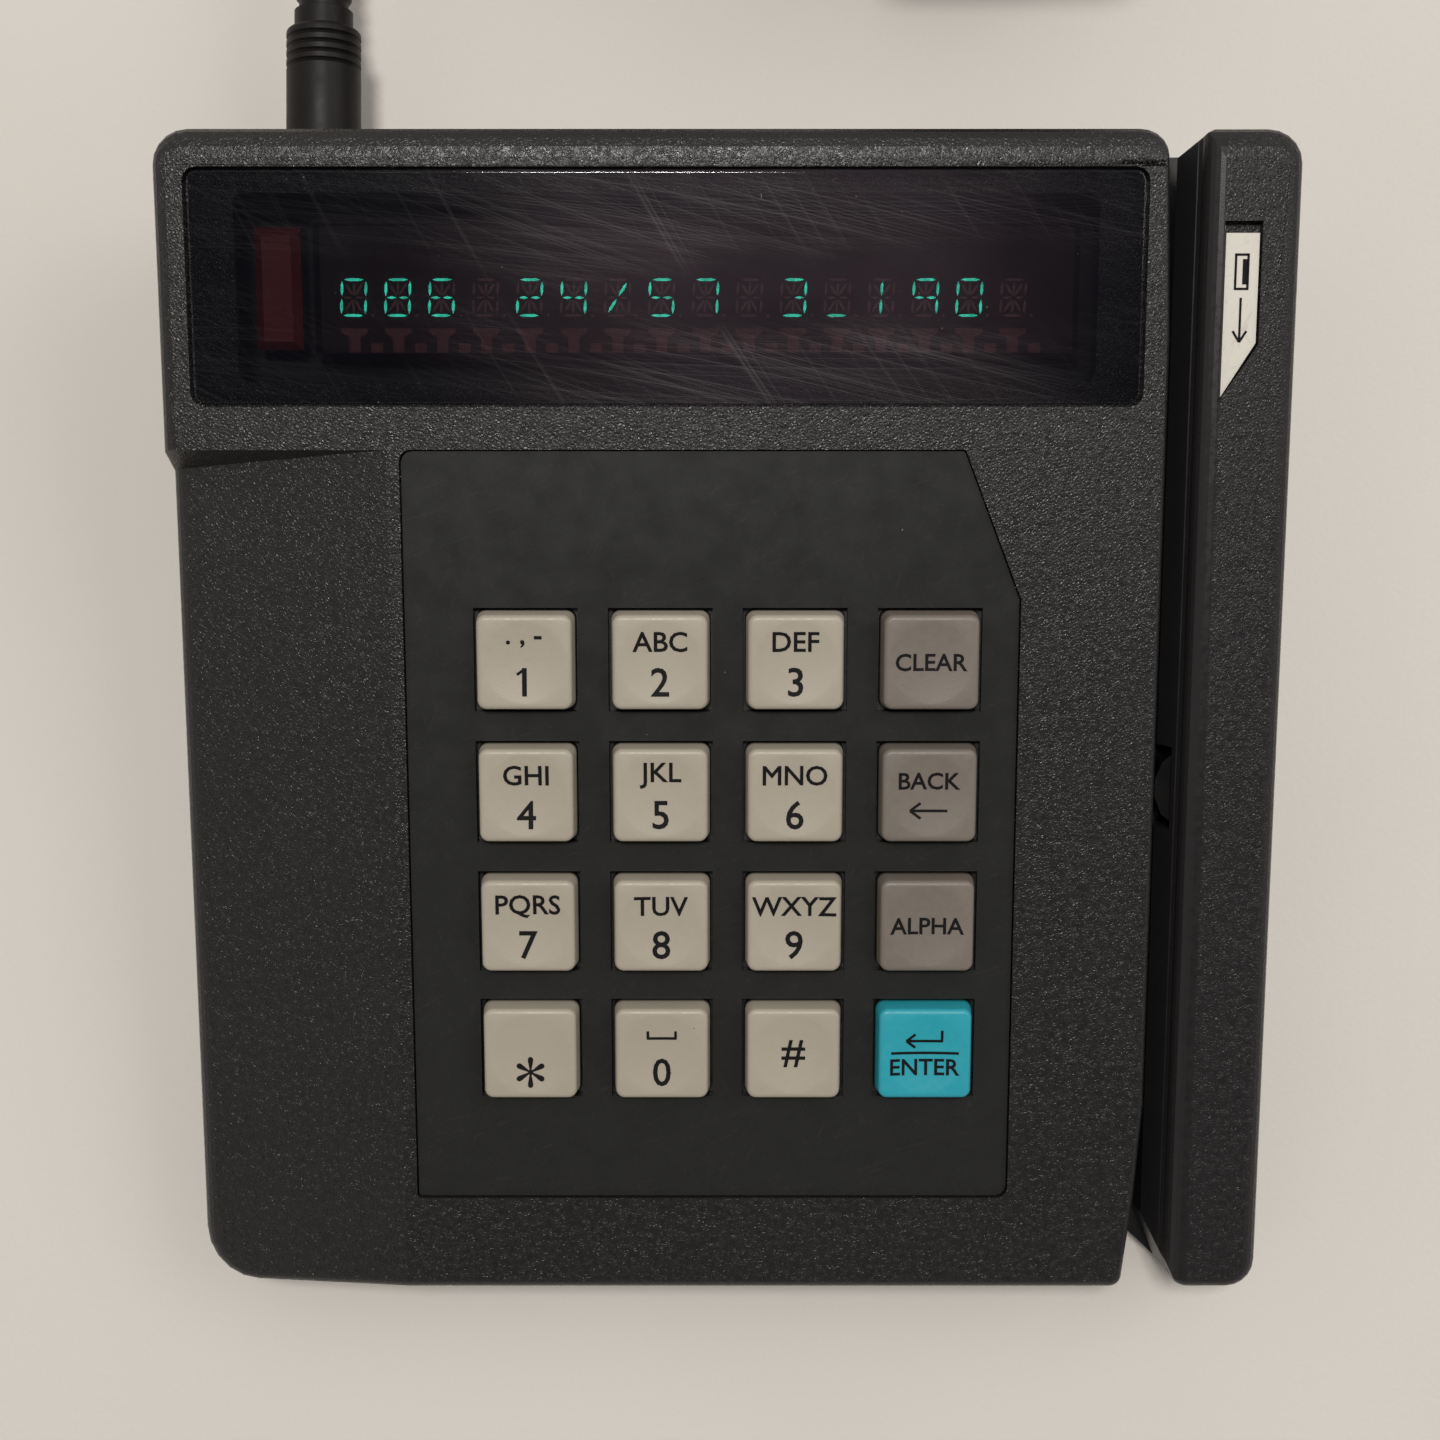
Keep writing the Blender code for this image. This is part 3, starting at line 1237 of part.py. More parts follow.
def build_keypad():
    hole = KEY_HOLE / 2
    bezel = add_part("keypad_bezel", slab(bezel_outline(), -BEZEL_BOTTOM, -BEZEL_BELOW_DECK), "bezel", DECK)
    join(bezel, joined(stakes(keypad_posts(), POST_RADIUS, -BEZEL_BOTTOM + FIT, -KEYPAD_BOARD_TOP + FIT)))
    cut(bezel, joined([
        box(x - hole, x + hole, y - hole, y + hole, -BEZEL_BOTTOM - CUT, CUT) for x, y in key_places().values()
    ]))
    reach = MAT_MARGIN + KEY_PITCH * (len(KEY_NAMES) - 1) / 2
    sheet = rectangle(
        KEYPAD_CENTRE_RIGHT - reach, KEYPAD_CENTRE_RIGHT + reach,
        KEYPAD_CENTRE_ALONG - reach, KEYPAD_CENTRE_ALONG + reach, KEY_CORNER,
    )
    mat = add_part("key_mat", slab(sheet, -MAT_TOP - MAT_THICKNESS, -MAT_TOP), "mat_rubber", DECK)
    join(mat, joined([
        cylinder(DOME_BASE_RADIUS, -MAT_TOP - FIT, -DOME_TOP, x, y, SMALL_SIDES, DOME_TOP_RADIUS)
        for x, y in key_places().values()
    ]))
    side = reach + KEYPAD_BOARD_MARGIN - MAT_MARGIN
    front = KEYPAD_CENTRE_ALONG - KEYPAD_BOARD_LENGTH / 2
    board = rectangle(
        KEYPAD_CENTRE_RIGHT - side, KEYPAD_CENTRE_RIGHT + side, front, front + KEYPAD_BOARD_LENGTH, KEY_EDGE,
    )
    low = -KEYPAD_BOARD_TOP - BOARD_THICKNESS
    board = slab(board, low, -KEYPAD_BOARD_TOP, peg_holes(keypad_posts()))
    add_part("keypad_board", board, "board_green", DECK)


# Display
def build_display():
    high = -LENS_BELOW_DECK
    add_part("display_lens", slab(lens_outline(), high - LENS_THICKNESS, high), "smoked_window", DECK)
    front = TUBE_CENTRE_ALONG - TUBE_DEPTH_ALONG / 2
    rear = front + TUBE_DEPTH_ALONG
    glass = rectangle(-TUBE_LEFT, TUBE_RIGHT, front, rear, TUBE_RADIUS)
    cover = add_part("display_tube_cover", slab(glass, -TUBE_BOTTOM, -TUBE_TOP), "tube_glass", DECK)
    hollow = rectangle(TUBE_GLASS - TUBE_LEFT, TUBE_RIGHT - TUBE_GLASS, front + TUBE_GLASS, rear - TUBE_GLASS)
    cut(cover, slab(hollow, -TUBE_BOTTOM - CUT, -TUBE_TOP - TUBE_GLASS))
    plate_top = -TUBE_BOTTOM - FIT
    plate = add_part("display_tube_plate", slab(glass, plate_top - TUBE_PLATE, plate_top), "tube_plate", DECK)
    middle = (TUBE_RIGHT - TUBE_LEFT) / 2
    half = PIN_WIDTH / 2
    pin_low = -DISPLAY_BOARD_TOP + FIT
    pin_high = plate_top - TUBE_PLATE + FIT
    pins = []
    for row in (front + PIN_SETBACK, rear - PIN_SETBACK):
        for number in range(PIN_COUNT):
            x = middle + (number - (PIN_COUNT - 1) / 2) * PIN_PITCH
            pins.append(box(x - half, x + half, row - half, row + half, pin_low, pin_high))
    join(plate, joined(pins))
    across = DISPLAY_BOARD_ALONG / 2
    board = rectangle(
        -DISPLAY_BOARD_LEFT, DISPLAY_BOARD_RIGHT, TUBE_CENTRE_ALONG - across, TUBE_CENTRE_ALONG + across, KEY_EDGE
    )
    low = -DISPLAY_BOARD_TOP - BOARD_THICKNESS
    board = slab(board, low, -DISPLAY_BOARD_TOP, peg_holes(display_posts()))
    add_part("display_board", board, "board_green", DECK)
    right = -TUBE_LEFT - TUBE_GLASS
    block = bevelled_box((
        right - INVERTER_WIDTH, right, TUBE_CENTRE_ALONG - INVERTER_LENGTH / 2,
        TUBE_CENTRE_ALONG + INVERTER_LENGTH / 2, -DISPLAY_BOARD_TOP + FIT, -DISPLAY_BOARD_TOP + INVERTER_HEIGHT,
    ), INVERTER_RIM)
    add_part("display_inverter", block, "inverter", DECK)


# Main board and what stands on it
PROCESSOR_PLACE_SHARE = (0.30, 0.30)
MEMORY_PLACE_SHARE = (0.62, 0.24)
MODEM_PLACE_SHARE = (0.42, 0.76)
BATTERY_PLACE_SHARE = (0.14, 0.52)
BEEPER_PLACE_SHARE = (0.86, 0.66)
HEATSINK_PLACE_SHARE = (0.20, 0.80)


def on_board(share):
    """A place on the main board from shares of its width and length."""
    x = -MAIN_BOARD_LEFT + share[0] * (MAIN_BOARD_LEFT + MAIN_BOARD_RIGHT)
    y = -MAIN_BOARD_FRONT + share[1] * (MAIN_BOARD_FRONT + MAIN_BOARD_REAR)
    return x, y


SEAT = BOARD_TOP + FIT


def chip(width, length, place):
    x, y = place
    return bevelled_box(
        (x - width / 2, x + width / 2, y - length / 2, y + length / 2, SEAT, SEAT + CHIP_HEIGHT), CHIP_EDGE
    )


def build_electronics():
    board = rectangle(-MAIN_BOARD_LEFT, MAIN_BOARD_RIGHT, -MAIN_BOARD_FRONT, MAIN_BOARD_REAR, KEY_EDGE)
    board = slab(board, BOARD_BOTTOM, BOARD_TOP, peg_holes(board_posts()))
    add_part("main_board", board, "board_green")
    add_part("processor_chip", chip(PROCESSOR_SIDE, PROCESSOR_SIDE, on_board(PROCESSOR_PLACE_SHARE)), "chip_black")
    add_part("memory_chip", chip(MEMORY_LENGTH, MEMORY_WIDTH, on_board(MEMORY_PLACE_SHARE)), "chip_black")
    x, y = on_board(MODEM_PLACE_SHARE)
    half = MODEM_SIDE / 2
    core = bevelled_box((x - half, x + half, y - half, y + half, SEAT, SEAT + MODEM_HEIGHT), CHIP_EDGE)
    modem = add_part("modem_transformer", core, "metal")
    half = MODEM_BOBBIN_SIDE / 2
    high = SEAT + MODEM_HEIGHT
    join(modem, box(x - half, x + half, y - half, y + half, high - MODEM_BOBBIN_RISE, high + MODEM_BOBBIN_RISE))
    x, y = on_board(BATTERY_PLACE_SHARE)
    cell = [
        (0, SEAT), (BATTERY_RADIUS, SEAT), (BATTERY_RADIUS, SEAT + BATTERY_HEIGHT - CHIP_EDGE),
        (BATTERY_RADIUS - CHIP_EDGE, SEAT + BATTERY_HEIGHT), (0, SEAT + BATTERY_HEIGHT),
    ]
    add_part("backup_battery", reshaped(turned(cell), Matrix.Translation((x, y, 0))), "metal")
    x, y = on_board(BEEPER_PLACE_SHARE)
    can = [
        (0, SEAT), (BEEPER_RADIUS, SEAT), (BEEPER_RADIUS, SEAT + BEEPER_HEIGHT),
        (BEEPER_PORT_RADIUS, SEAT + BEEPER_HEIGHT), (BEEPER_PORT_RADIUS, SEAT + BEEPER_HEIGHT / 2),
        (0, SEAT + BEEPER_HEIGHT / 2),
    ]
    add_part("beeper", reshaped(turned(can), Matrix.Translation((x, y, 0))), "chip_black")
    x, y = on_board(HEATSINK_PLACE_SHARE)
    wide, deep = HEATSINK_WIDTH / 2, HEATSINK_DEPTH
    inner = wide - HEATSINK_WEB
    channel = [
        (x - wide, y), (x + wide, y), (x + wide, y + deep), (x + inner, y + deep), (x + inner, y + HEATSINK_WEB),
        (x - inner, y + HEATSINK_WEB), (x - inner, y + deep), (x - wide, y + deep),
    ]
    add_part("regulator_heatsink", slab(channel, SEAT, SEAT + HEATSINK_HEIGHT), "aluminium")


# Ports in the rear wall
def build_ports():
    rear = JACK_FACE
    front = rear - JACK_DEPTH
    top = JACK_BOTTOM + JACK_HEIGHT
    middle = (JACK_BOTTOM + top) / 2
    hole = JACK_HOLE_WIDTH / 2
    latch = JACK_LATCH_WIDTH / 2
    floor = middle - JACK_HOLE_HEIGHT / 2
    jacks = add_part("jack_block", box(JACKS_LOW, JACKS_HIGH, front, rear, SEAT, top), "chip_black")
    cut(jacks, joined([
        box(x - hole, x + hole, rear - JACK_HOLE_DEPTH, rear + CUT, floor, floor + JACK_HOLE_HEIGHT)
        for x in JACKS
    ]))
    cut(jacks, joined([
        box(x - latch, x + latch, rear - JACK_HOLE_DEPTH / 2, rear + CUT, floor - JACK_LATCH_HEIGHT, middle)
        for x in JACKS
    ]))
    half = SERIAL_RADIUS + SERIAL_RING
    x = SERIAL_PORT_RIGHT
    port = add_part("serial_port", box(x - half, x + half, front, rear, SEAT, top), "chip_black")
    groove = turned([
        (SERIAL_PLUG_RADIUS, 0), (JACK_HEIGHT / 2 - SERIAL_RING, 0),
        (JACK_HEIGHT / 2 - SERIAL_RING, SERIAL_HOLLOW_DEPTH + CUT),
        (SERIAL_PLUG_RADIUS, SERIAL_HOLLOW_DEPTH + CUT), (SERIAL_PLUG_RADIUS, 0),
    ])
    turn = Matrix.Translation((x, rear - SERIAL_HOLLOW_DEPTH, middle)) @ Matrix.Rotation(-math.pi / 2, 4, "X")
    cut(port, reshaped(groove, turn))
    half = POWER_JACK_WIDTH / 2
    x = -POWER_PLUG_LEFT
    rear = HALF_LENGTH - WALL - FIT
    jack = add_part("power_jack", box(x - half, x + half, front, rear, SEAT, POWER_AXIS_HEIGHT + half), "chip_black")
    bore = cylinder(POWER_BORE_RADIUS, 0, POWER_BORE_DEPTH + CUT)
    turn = Matrix.Translation((x, rear + CUT, POWER_AXIS_HEIGHT)) @ Matrix.Rotation(math.pi / 2, 4, "X")
    cut(jack, reshaped(bore, turn))


# Reader head on its leaf spring
HEAD_DROP = SLOT_DEPTH - HEAD_ABOVE_FLOOR
HEAD_LEFT = SLOT_OUTER - HEAD_PROUD
HEAD_RIGHT = HEAD_LEFT + HEAD_DEPTH
SPRING_LEFT = HEAD_RIGHT + FIT
SPRING_RIGHT = SPRING_LEFT + SPRING_THICKNESS
HEAD_BOSS_LEFT = SPRING_RIGHT + FIT
RAIL_INNER_RIGHT = HALF_WIDTH - WALL
ACROSS = Matrix.Rotation(math.pi / 2, 4, "Y")


def head_place():
    """The head's centre in world coordinates."""
    return DECK_FRAME @ Vector((HEAD_LEFT, HEAD_ALONG, -HEAD_DROP))


def spring_ends():
    reach = SPRING_LENGTH / 2 - SPRING_HOLE_INSET
    return [HEAD_ALONG - reach, HEAD_ALONG + reach]


def head_stakes():
    """Posts on the rail cover's wall that hold the ends of the leaf spring."""
    turn = Matrix.Rotation(math.pi / 2, 4, "Y")
    seat = HEAD_BOSS_LEFT
    post = (HEAD_BOSS_RADIUS, RAIL_INNER_RIGHT + WALL / 2, seat, SPRING_THICKNESS + 2 * FIT)
    return joined([
        reshaped(stake(*post), Matrix.Translation((0, along, -HEAD_DROP)) @ turn) for along in spring_ends()
    ])


def build_reader():
    half = HEAD_LENGTH / 2
    nose = half * (1 - HEAD_NOSE_SHARE)
    outline = [
        (HEAD_NOSE, -half), (HEAD_DEPTH, -half), (HEAD_DEPTH, half), (HEAD_NOSE, half),
        (HEAD_NOSE / 3, nose), (0, nose / 3), (0, -nose / 3), (HEAD_NOSE / 3, -nose),
    ]
    head = slab(outline, -HEAD_HEIGHT / 2, HEAD_HEIGHT / 2)
    head = add_part("mag_head", head, "metal", DECK)
    head.location = (HEAD_LEFT, HEAD_ALONG, -HEAD_DROP)
    half = SPRING_LENGTH / 2
    holes = [circle(PEG_RADIUS + FIT, SMALL_SIDES, 0, along - HEAD_ALONG) for along in spring_ends()]
    leaf = rectangle(-SPRING_WIDTH / 2, SPRING_WIDTH / 2, -half, half, SPRING_THICKNESS)
    leaf = reshaped(slab(leaf, 0, SPRING_THICKNESS, holes), ACROSS)
    leaf = add_part("head_spring", leaf, "metal", DECK)
    leaf.location = (SPRING_LEFT, HEAD_ALONG, -HEAD_DROP)


def smooth(points, steps):
    """A smooth curve through a list of points, with even steps between each pair."""
    ends = [2 * points[0] - points[1], *points, 2 * points[-1] - points[-2]]
    curve = []
    for before, start, end, after in zip(ends, ends[1:], ends[2:], ends[3:]):
        for i in range(steps):
            t = i / steps
            bend = (3 * (start - end) + after - before) * t ** 3
            lean = (2 * before - 5 * start + 4 * end - after) * t ** 2
            curve.append(start + ((end - before) * t + lean + bend) / 2)
    return [*curve, points[-1]]


def ribbon(name, start, direction, end, right):
    """A flat cable in a vertical plane, bowed between two boards, from points given as y and z."""
    pull = (start - end).length / 2
    knots = [start, start + direction * pull, end + Vector((0, pull)), end]
    line = []
    steps = 3 * ARC_STEPS
    for i in range(steps + 1):
        t = i / steps
        shares = ((1 - t) ** 3, 3 * t * (1 - t) ** 2, 3 * t * t * (1 - t), t ** 3)
        line.append(sum((knot * share for knot, share in zip(knots, shares)), Vector((0, 0))))
    sides = []
    for i, point in enumerate(line):
        run = (line[min(i + 1, steps)] - line[max(i - 1, 0)]).normalized()
        sides.append((point, Vector((-run.y, run.x)) * RIBBON_THICKNESS / 2))
    outline = [tuple(point + side) for point, side in sides] + [tuple(point - side) for point, side in reversed(sides)]
    shape = slab(outline, right - RIBBON_WIDTH / 2, right + RIBBON_WIDTH / 2)
    turn = Matrix(((0, 0, 1, 0), (1, 0, 0, 0), (0, 1, 0, 0), (0, 0, 0, 1)))
    add_part(name, reshaped(shape, turn), "ribbon_grey")


def build_cables():
    down = (-DECK_NORMAL).yz
    low = DECK_FRAME @ Vector((0, TUBE_CENTRE_ALONG, -DISPLAY_BOARD_TOP - BOARD_THICKNESS - FIT))
    place = on_board(RIBBON_PLACE_SHARES[0])
    ribbon("display_ribbon", low.yz, down, Vector((place[1], SEAT)), place[0])
    rear = KEYPAD_CENTRE_ALONG + KEYPAD_POST_ALONG - KEYPAD_POST_INSET
    low = DECK_FRAME @ Vector((0, rear, -KEYPAD_BOARD_TOP - BOARD_THICKNESS - FIT))
    place = on_board(RIBBON_PLACE_SHARES[1])
    ribbon("keypad_ribbon", low.yz, down, Vector((place[1], SEAT)), place[0])
    head = DECK_FRAME @ Vector((HEAD_RIGHT - 2 * HEAD_CABLE_RADIUS, HEAD_ALONG, -HEAD_DROP - HEAD_HEIGHT / 2))
    way = BASE_TOP + CABLE_NOTCH_HEIGHT / 2
    side = (MAIN_BOARD_RIGHT + BODY_INNER_RIGHT) / 2
    y = head_place().y
    route = [
        Vector((head.x, y, head.z - FIT - HEAD_CABLE_RADIUS)),
        Vector((head.x, y, way + 3 * HEAD_CABLE_RADIUS)),
        Vector((RIB_RIGHT, y, way)),
        Vector((BODY_INNER_RIGHT, y, way)),
        Vector((side, y, BOARD_TOP + HEAD_CABLE_RADIUS)),
        Vector((MAIN_BOARD_RIGHT - HEAD_CABLE_RADIUS, y, SEAT + 3 * HEAD_CABLE_RADIUS)),
        Vector((MAIN_BOARD_RIGHT - 4 * HEAD_CABLE_RADIUS, y, SEAT + FIT)),
    ]
    add_part("head_cable", tube(smooth(route, ARC_STEPS), HEAD_CABLE_RADIUS, 1), "cord_black")


# Power lead
TO_REAR = Matrix.Rotation(-math.pi / 2, 4, "X")
PLUG_FACE = Vector((-POWER_PLUG_LEFT, HALF_LENGTH + FIT, POWER_AXIS_HEIGHT))
SLEEVE_END = PLUG_FACE + Vector((0, PLUG_BARREL_LENGTH + PLUG_NECK_LENGTH + SLEEVE_LENGTH, 0))
CORD_DIAMETER = 2 * CORD_RADIUS
COIL_PITCH = CORD_DIAMETER + COIL_GAP
COIL_CENTRE = Vector((-COIL_LEFT, COIL_BACK, CORD_RADIUS + TIE_THICKNESS + FIT))
LAYER_TURNS = COIL_TURNS / COIL_LAYERS
COIL_OUTER = COIL_RADIUS + LAYER_TURNS * COIL_PITCH / 2
COIL_INNER = COIL_RADIUS - LAYER_TURNS * COIL_PITCH / 2


def build_plug():
    """The plug with its hollow contact barrel in front and its ribbed strain relief behind, moulded as one."""
    length = WALL + FIT + PLUG_TIP_LENGTH
    profile = [
        (0, PLUG_BORE_DEPTH - length), (PLUG_BORE_RADIUS, PLUG_BORE_DEPTH - length),
        (PLUG_BORE_RADIUS, -length), (PLUG_TIP_RADIUS, -length), (PLUG_TIP_RADIUS, 0),
        (PLUG_RADIUS - PLUG_EDGE, 0), (PLUG_RADIUS, PLUG_EDGE),
    ]
    for number in range(PLUG_GROOVES):
        start = PLUG_GROOVE_START + number * PLUG_GROOVE_PITCH
        profile += [
            (PLUG_RADIUS, start), (PLUG_RADIUS - PLUG_GROOVE_DEPTH, start + PLUG_GROOVE_PITCH / 4),
            (PLUG_RADIUS, start + PLUG_GROOVE_PITCH / 2),
        ]
    end = PLUG_BARREL_LENGTH + PLUG_NECK_LENGTH
    profile += [
        (PLUG_RADIUS, PLUG_BARREL_LENGTH - PLUG_EDGE), (PLUG_NECK_RADIUS, PLUG_BARREL_LENGTH),
        (PLUG_NECK_RADIUS, end),
    ]
    rib = SLEEVE_LENGTH / SLEEVE_RIBS
    groove = rib * SLEEVE_GROOVE_SHARE
    for number in range(SLEEVE_RIBS):
        outer = SLEEVE_RADIUS + (SLEEVE_END_RADIUS - SLEEVE_RADIUS) * number / (SLEEVE_RIBS - 1)
        inner = outer - SLEEVE_RIB_DEPTH
        start = end + number * rib
        profile += [(inner, start), (inner, start + groove), (outer, start + groove), (outer, start + rib)]
    profile.append((0, end + SLEEVE_LENGTH))
    plug = add_part("power_plug", reshaped(turned(profile), TO_REAR), "cord_black")
    plug.location = PLUG_FACE


def coil_point(turn):
    """The coil's centreline: four layers that spiral in and out, climbing where the spiral turns back."""
    layer = turn / LAYER_TURNS
    folded = abs((layer + 1) % 2 - 1)
    radius = COIL_OUTER - (COIL_OUTER - COIL_INNER) * folded
    height = sum(min(max(2 * (turn - step * LAYER_TURNS) + 0.5, 0), 1) for step in range(1, COIL_LAYERS))
    angle = math.pi - 2 * math.pi * turn
    return COIL_CENTRE + Vector((radius * math.cos(angle), radius * math.sin(angle), height * COIL_PITCH))


def coil_line():
    count = math.ceil(COIL_TURNS * COIL_TURN_POINTS)
    line = [coil_point(COIL_TURNS * i / count) for i in range(count + 1)]
    first = line[0] - Vector((0, CORD_DIAMETER, 0))
    last = line[-1] + Vector((CORD_DIAMETER, 0, 0))
    return [first, *line, last]


def least_gap(line):
    """The smallest distance between the surfaces of different turns of a tube."""
    apart = COIL_TURN_POINTS // 2
    pairs = ((a, b) for i, a in enumerate(line) for b in line[i + apart:])
    return min((a - b).length for a, b in pairs) - CORD_DIAMETER


COIL_LINE = coil_line()
RELIEF_END = Vector((
    ADAPTER_RIGHT, ADAPTER_BACK + ADAPTER_LENGTH / 2 + ADAPTER_RELIEF_LENGTH + FIT, ADAPTER_RELIEF_HEIGHT
))

# The free stretches, from the plug to the coil and from the coil to the adapter: shares of the way
# across, along and up
LEAD_ROUTE_SHARES = ((0.03, 0.22, 0.16), (0.20, 0.48, 0.50), (0.50, 0.74, 0.85))
TAIL_ROUTE_SHARES = (
    (0.176, -0.013, 0.135), (0.357, -0.070, 0.520), (0.522, -0.171, 0.954),
    (0.670, -0.260, 1.193), (0.835, -0.095, 1.232), (0.956, 0.367, 1.162),
)


def routed(start, start_run, shares, end_run, end):
    """A smooth line with a straight run at both ends."""
    low = start + start_run
    high = end - end_run
    middle = [low + Vector([share * way for share, way in zip(place, high - low)]) for place in shares]
    return [start, *smooth([start, low, *middle, high, end], 2)[2:-2], end]


def build_cord():
    rearward = Vector((0, CORD_DIAMETER, 0))
    across = Vector((CORD_DIAMETER, 0, 0))
    apart = Vector((0, FIT, 0))
    lead = routed(SLEEVE_END + apart, rearward, LEAD_ROUTE_SHARES, rearward, COIL_LINE[0] - apart)
    add_part("power_cord", tube(lead, CORD_RADIUS, 2), "cord_black")
    add_part("power_cord_coil", tube(COIL_LINE, CORD_RADIUS, 1), "cord_black")
    tail = routed(COIL_LINE[-1] + Vector((FIT, 0, 0)), across, TAIL_ROUTE_SHARES, -rearward, RELIEF_END)
    add_part("power_cord_tail", tube(tail, CORD_RADIUS, 2), "cord_black")
    print("least gap between turns of the coil, in millimetres:", round(least_gap(COIL_LINE) * 1000, 3))
    for name, line in (("power_cord", lead), ("power_cord_coil", COIL_LINE), ("power_cord_tail", tail)):
        length = sum((b - a).length for a, b in zip(line, line[1:]))
        print(name, "length in millimetres:", round(length * 1000, 1))


def build_tie():
    """A strap around the coil's bundle of turns."""
    inner = COIL_INNER - CORD_RADIUS - FIT
    outer = COIL_OUTER + CORD_RADIUS + FIT
    high = COIL_CENTRE.z + (COIL_LAYERS - 1) * COIL_PITCH + CORD_RADIUS + FIT
    wall = TIE_THICKNESS
    loop = rectangle(inner - wall, outer + wall, 0, high + wall, CORD_RADIUS)
    hole = rectangle(inner, outer, wall, high, CORD_RADIUS - wall)
    strap = reshaped(slab(loop, -TIE_WIDTH / 2, TIE_WIDTH / 2, [hole]), Matrix.Rotation(math.pi / 2, 4, "X"))
    tie = add_part("cord_tie", strap, "cord_black")
    tie.location = (COIL_CENTRE.x, COIL_CENTRE.y, 0)
    tie.rotation_euler = (0, 0, TIE_ANGLE)


def build_adapter():
    wide, deep = ADAPTER_WIDTH / 2, ADAPTER_LENGTH / 2
    x, y = ADAPTER_RIGHT, ADAPTER_BACK
    body = bevelled_box((x - wide, x + wide, y - deep, y + deep, 0, ADAPTER_HEIGHT), ADAPTER_EDGE, 2, False)
    case = add_part("adapter_case", body, "adapter_black")
    relief = cylinder(
        SLEEVE_RADIUS, -BLADE_SEAT, ADAPTER_RELIEF_LENGTH, sides=ROUND_SIDES, top_radius=SLEEVE_END_RADIUS
    )
    place = Matrix.Translation((x, y + deep, ADAPTER_RELIEF_HEIGHT)) @ TO_REAR
    join(case, reshaped(relief, place))
    middle = ADAPTER_HEIGHT / 2
    half = BLADE_WIDTH / 2
    face = x + wide
    length, height = BLADE_PLATE_LENGTH / 2, BLADE_PLATE_HEIGHT / 2
    grown = length + FIT, height + FIT
    cut(case, box(face - BLADE_SEAT, face + CUT, y - grown[0], y + grown[0], middle - grown[1], middle + grown[1]))
    plate = box(face - BLADE_SEAT + FIT, face - FIT, y - length, y + length, middle - height, middle + height)
    plate = add_part("adapter_blades", plate, "brass")
    blades = []
    for side in (-1, 1):
        z = middle + side * BLADE_SPACING / 2
        low, high = z - BLADE_THICKNESS / 2, z + BLADE_THICKNESS / 2
        blades.append(box(face - 2 * FIT, face + BLADE_LENGTH, y - half, y + half, low, high))
    join(plate, joined(blades))


build_upper_case()
build_rail_cover()
build_card_track()
build_slot_floor()
build_label()
build_base()
build_feet()
build_case_screws()
build_keys()
build_keypad()
build_display()
build_electronics()
build_ports()
build_reader()
build_cables()
build_plug()
build_cord()
build_tie()
build_adapter()
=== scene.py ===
"""The looks of a countertop card payment terminal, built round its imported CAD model."""

import math

import bmesh
import bpy
from mathutils import Matrix, Vector


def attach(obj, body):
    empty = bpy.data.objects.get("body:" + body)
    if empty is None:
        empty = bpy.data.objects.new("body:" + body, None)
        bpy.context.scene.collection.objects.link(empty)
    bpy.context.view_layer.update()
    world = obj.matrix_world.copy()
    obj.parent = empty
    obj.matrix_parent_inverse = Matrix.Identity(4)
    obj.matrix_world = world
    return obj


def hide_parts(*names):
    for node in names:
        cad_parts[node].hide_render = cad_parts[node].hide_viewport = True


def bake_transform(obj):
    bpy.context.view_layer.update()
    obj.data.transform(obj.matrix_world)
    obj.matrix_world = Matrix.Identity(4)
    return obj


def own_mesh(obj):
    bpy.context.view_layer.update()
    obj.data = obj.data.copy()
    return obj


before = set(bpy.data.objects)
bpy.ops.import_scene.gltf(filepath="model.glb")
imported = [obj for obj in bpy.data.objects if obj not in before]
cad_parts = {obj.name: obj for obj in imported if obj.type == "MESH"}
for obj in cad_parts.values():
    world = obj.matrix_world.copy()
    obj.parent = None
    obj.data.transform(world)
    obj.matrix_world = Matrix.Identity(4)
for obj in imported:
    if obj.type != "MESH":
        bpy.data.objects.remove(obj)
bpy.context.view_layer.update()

# Sizes shared with the CAD model, in metres
CASE_LENGTH = 0.1655
FRONT_HEIGHT = 0.0215
DECK_TILT = math.radians(9.2)
FIT = 0.0003
PLUG_LEFT = 0.0612
PLUG_AXIS_HEIGHT = 0.0152
PLUG_LENGTH = 0.0425
CORD_RADIUS = 0.0025
COIL_RADIUS = 0.0283
COIL_TURNS = 9.25
COIL_LAYERS = 4
COIL_GAP = 0.00045
COIL_TURN_POINTS = 48
COIL_LEFT = 0.0300
COIL_BACK = 0.1725
TIE_THICKNESS = 0.0008
ADAPTER_RIGHT = 0.0410
ADAPTER_RELIEF_BACK = 0.1863
ADAPTER_RELIEF_HEIGHT = 0.0070

KEY_PITCH = 0.01905
KEY_TOP = 0.0134
KEY_BASE = 0.0142
KEY_FLANGE = 0.0164
KEY_STEM = 0.0060
KEY_TOP_HEIGHT = 0.0024
KEY_FLANGE_TOP = -0.0025
KEY_FLANGE_BOTTOM = -0.0037
KEY_STEM_BOTTOM = -0.0050
KEYPAD_MIDDLE = (0.0001, 0.0656)
PLATE_TOP = -0.0105
LABEL_TOP = -0.0004
LABEL_MIDDLE = (0.0706, 0.1456)

HALF_LENGTH = CASE_LENGTH / 2
DECK_FRAME = Matrix.Translation((0, -HALF_LENGTH, FRONT_HEIGHT)) @ Matrix.Rotation(DECK_TILT, 4, "X")
UPRIGHT = DECK_FRAME.to_3x3() @ Vector((0, 0, 1))


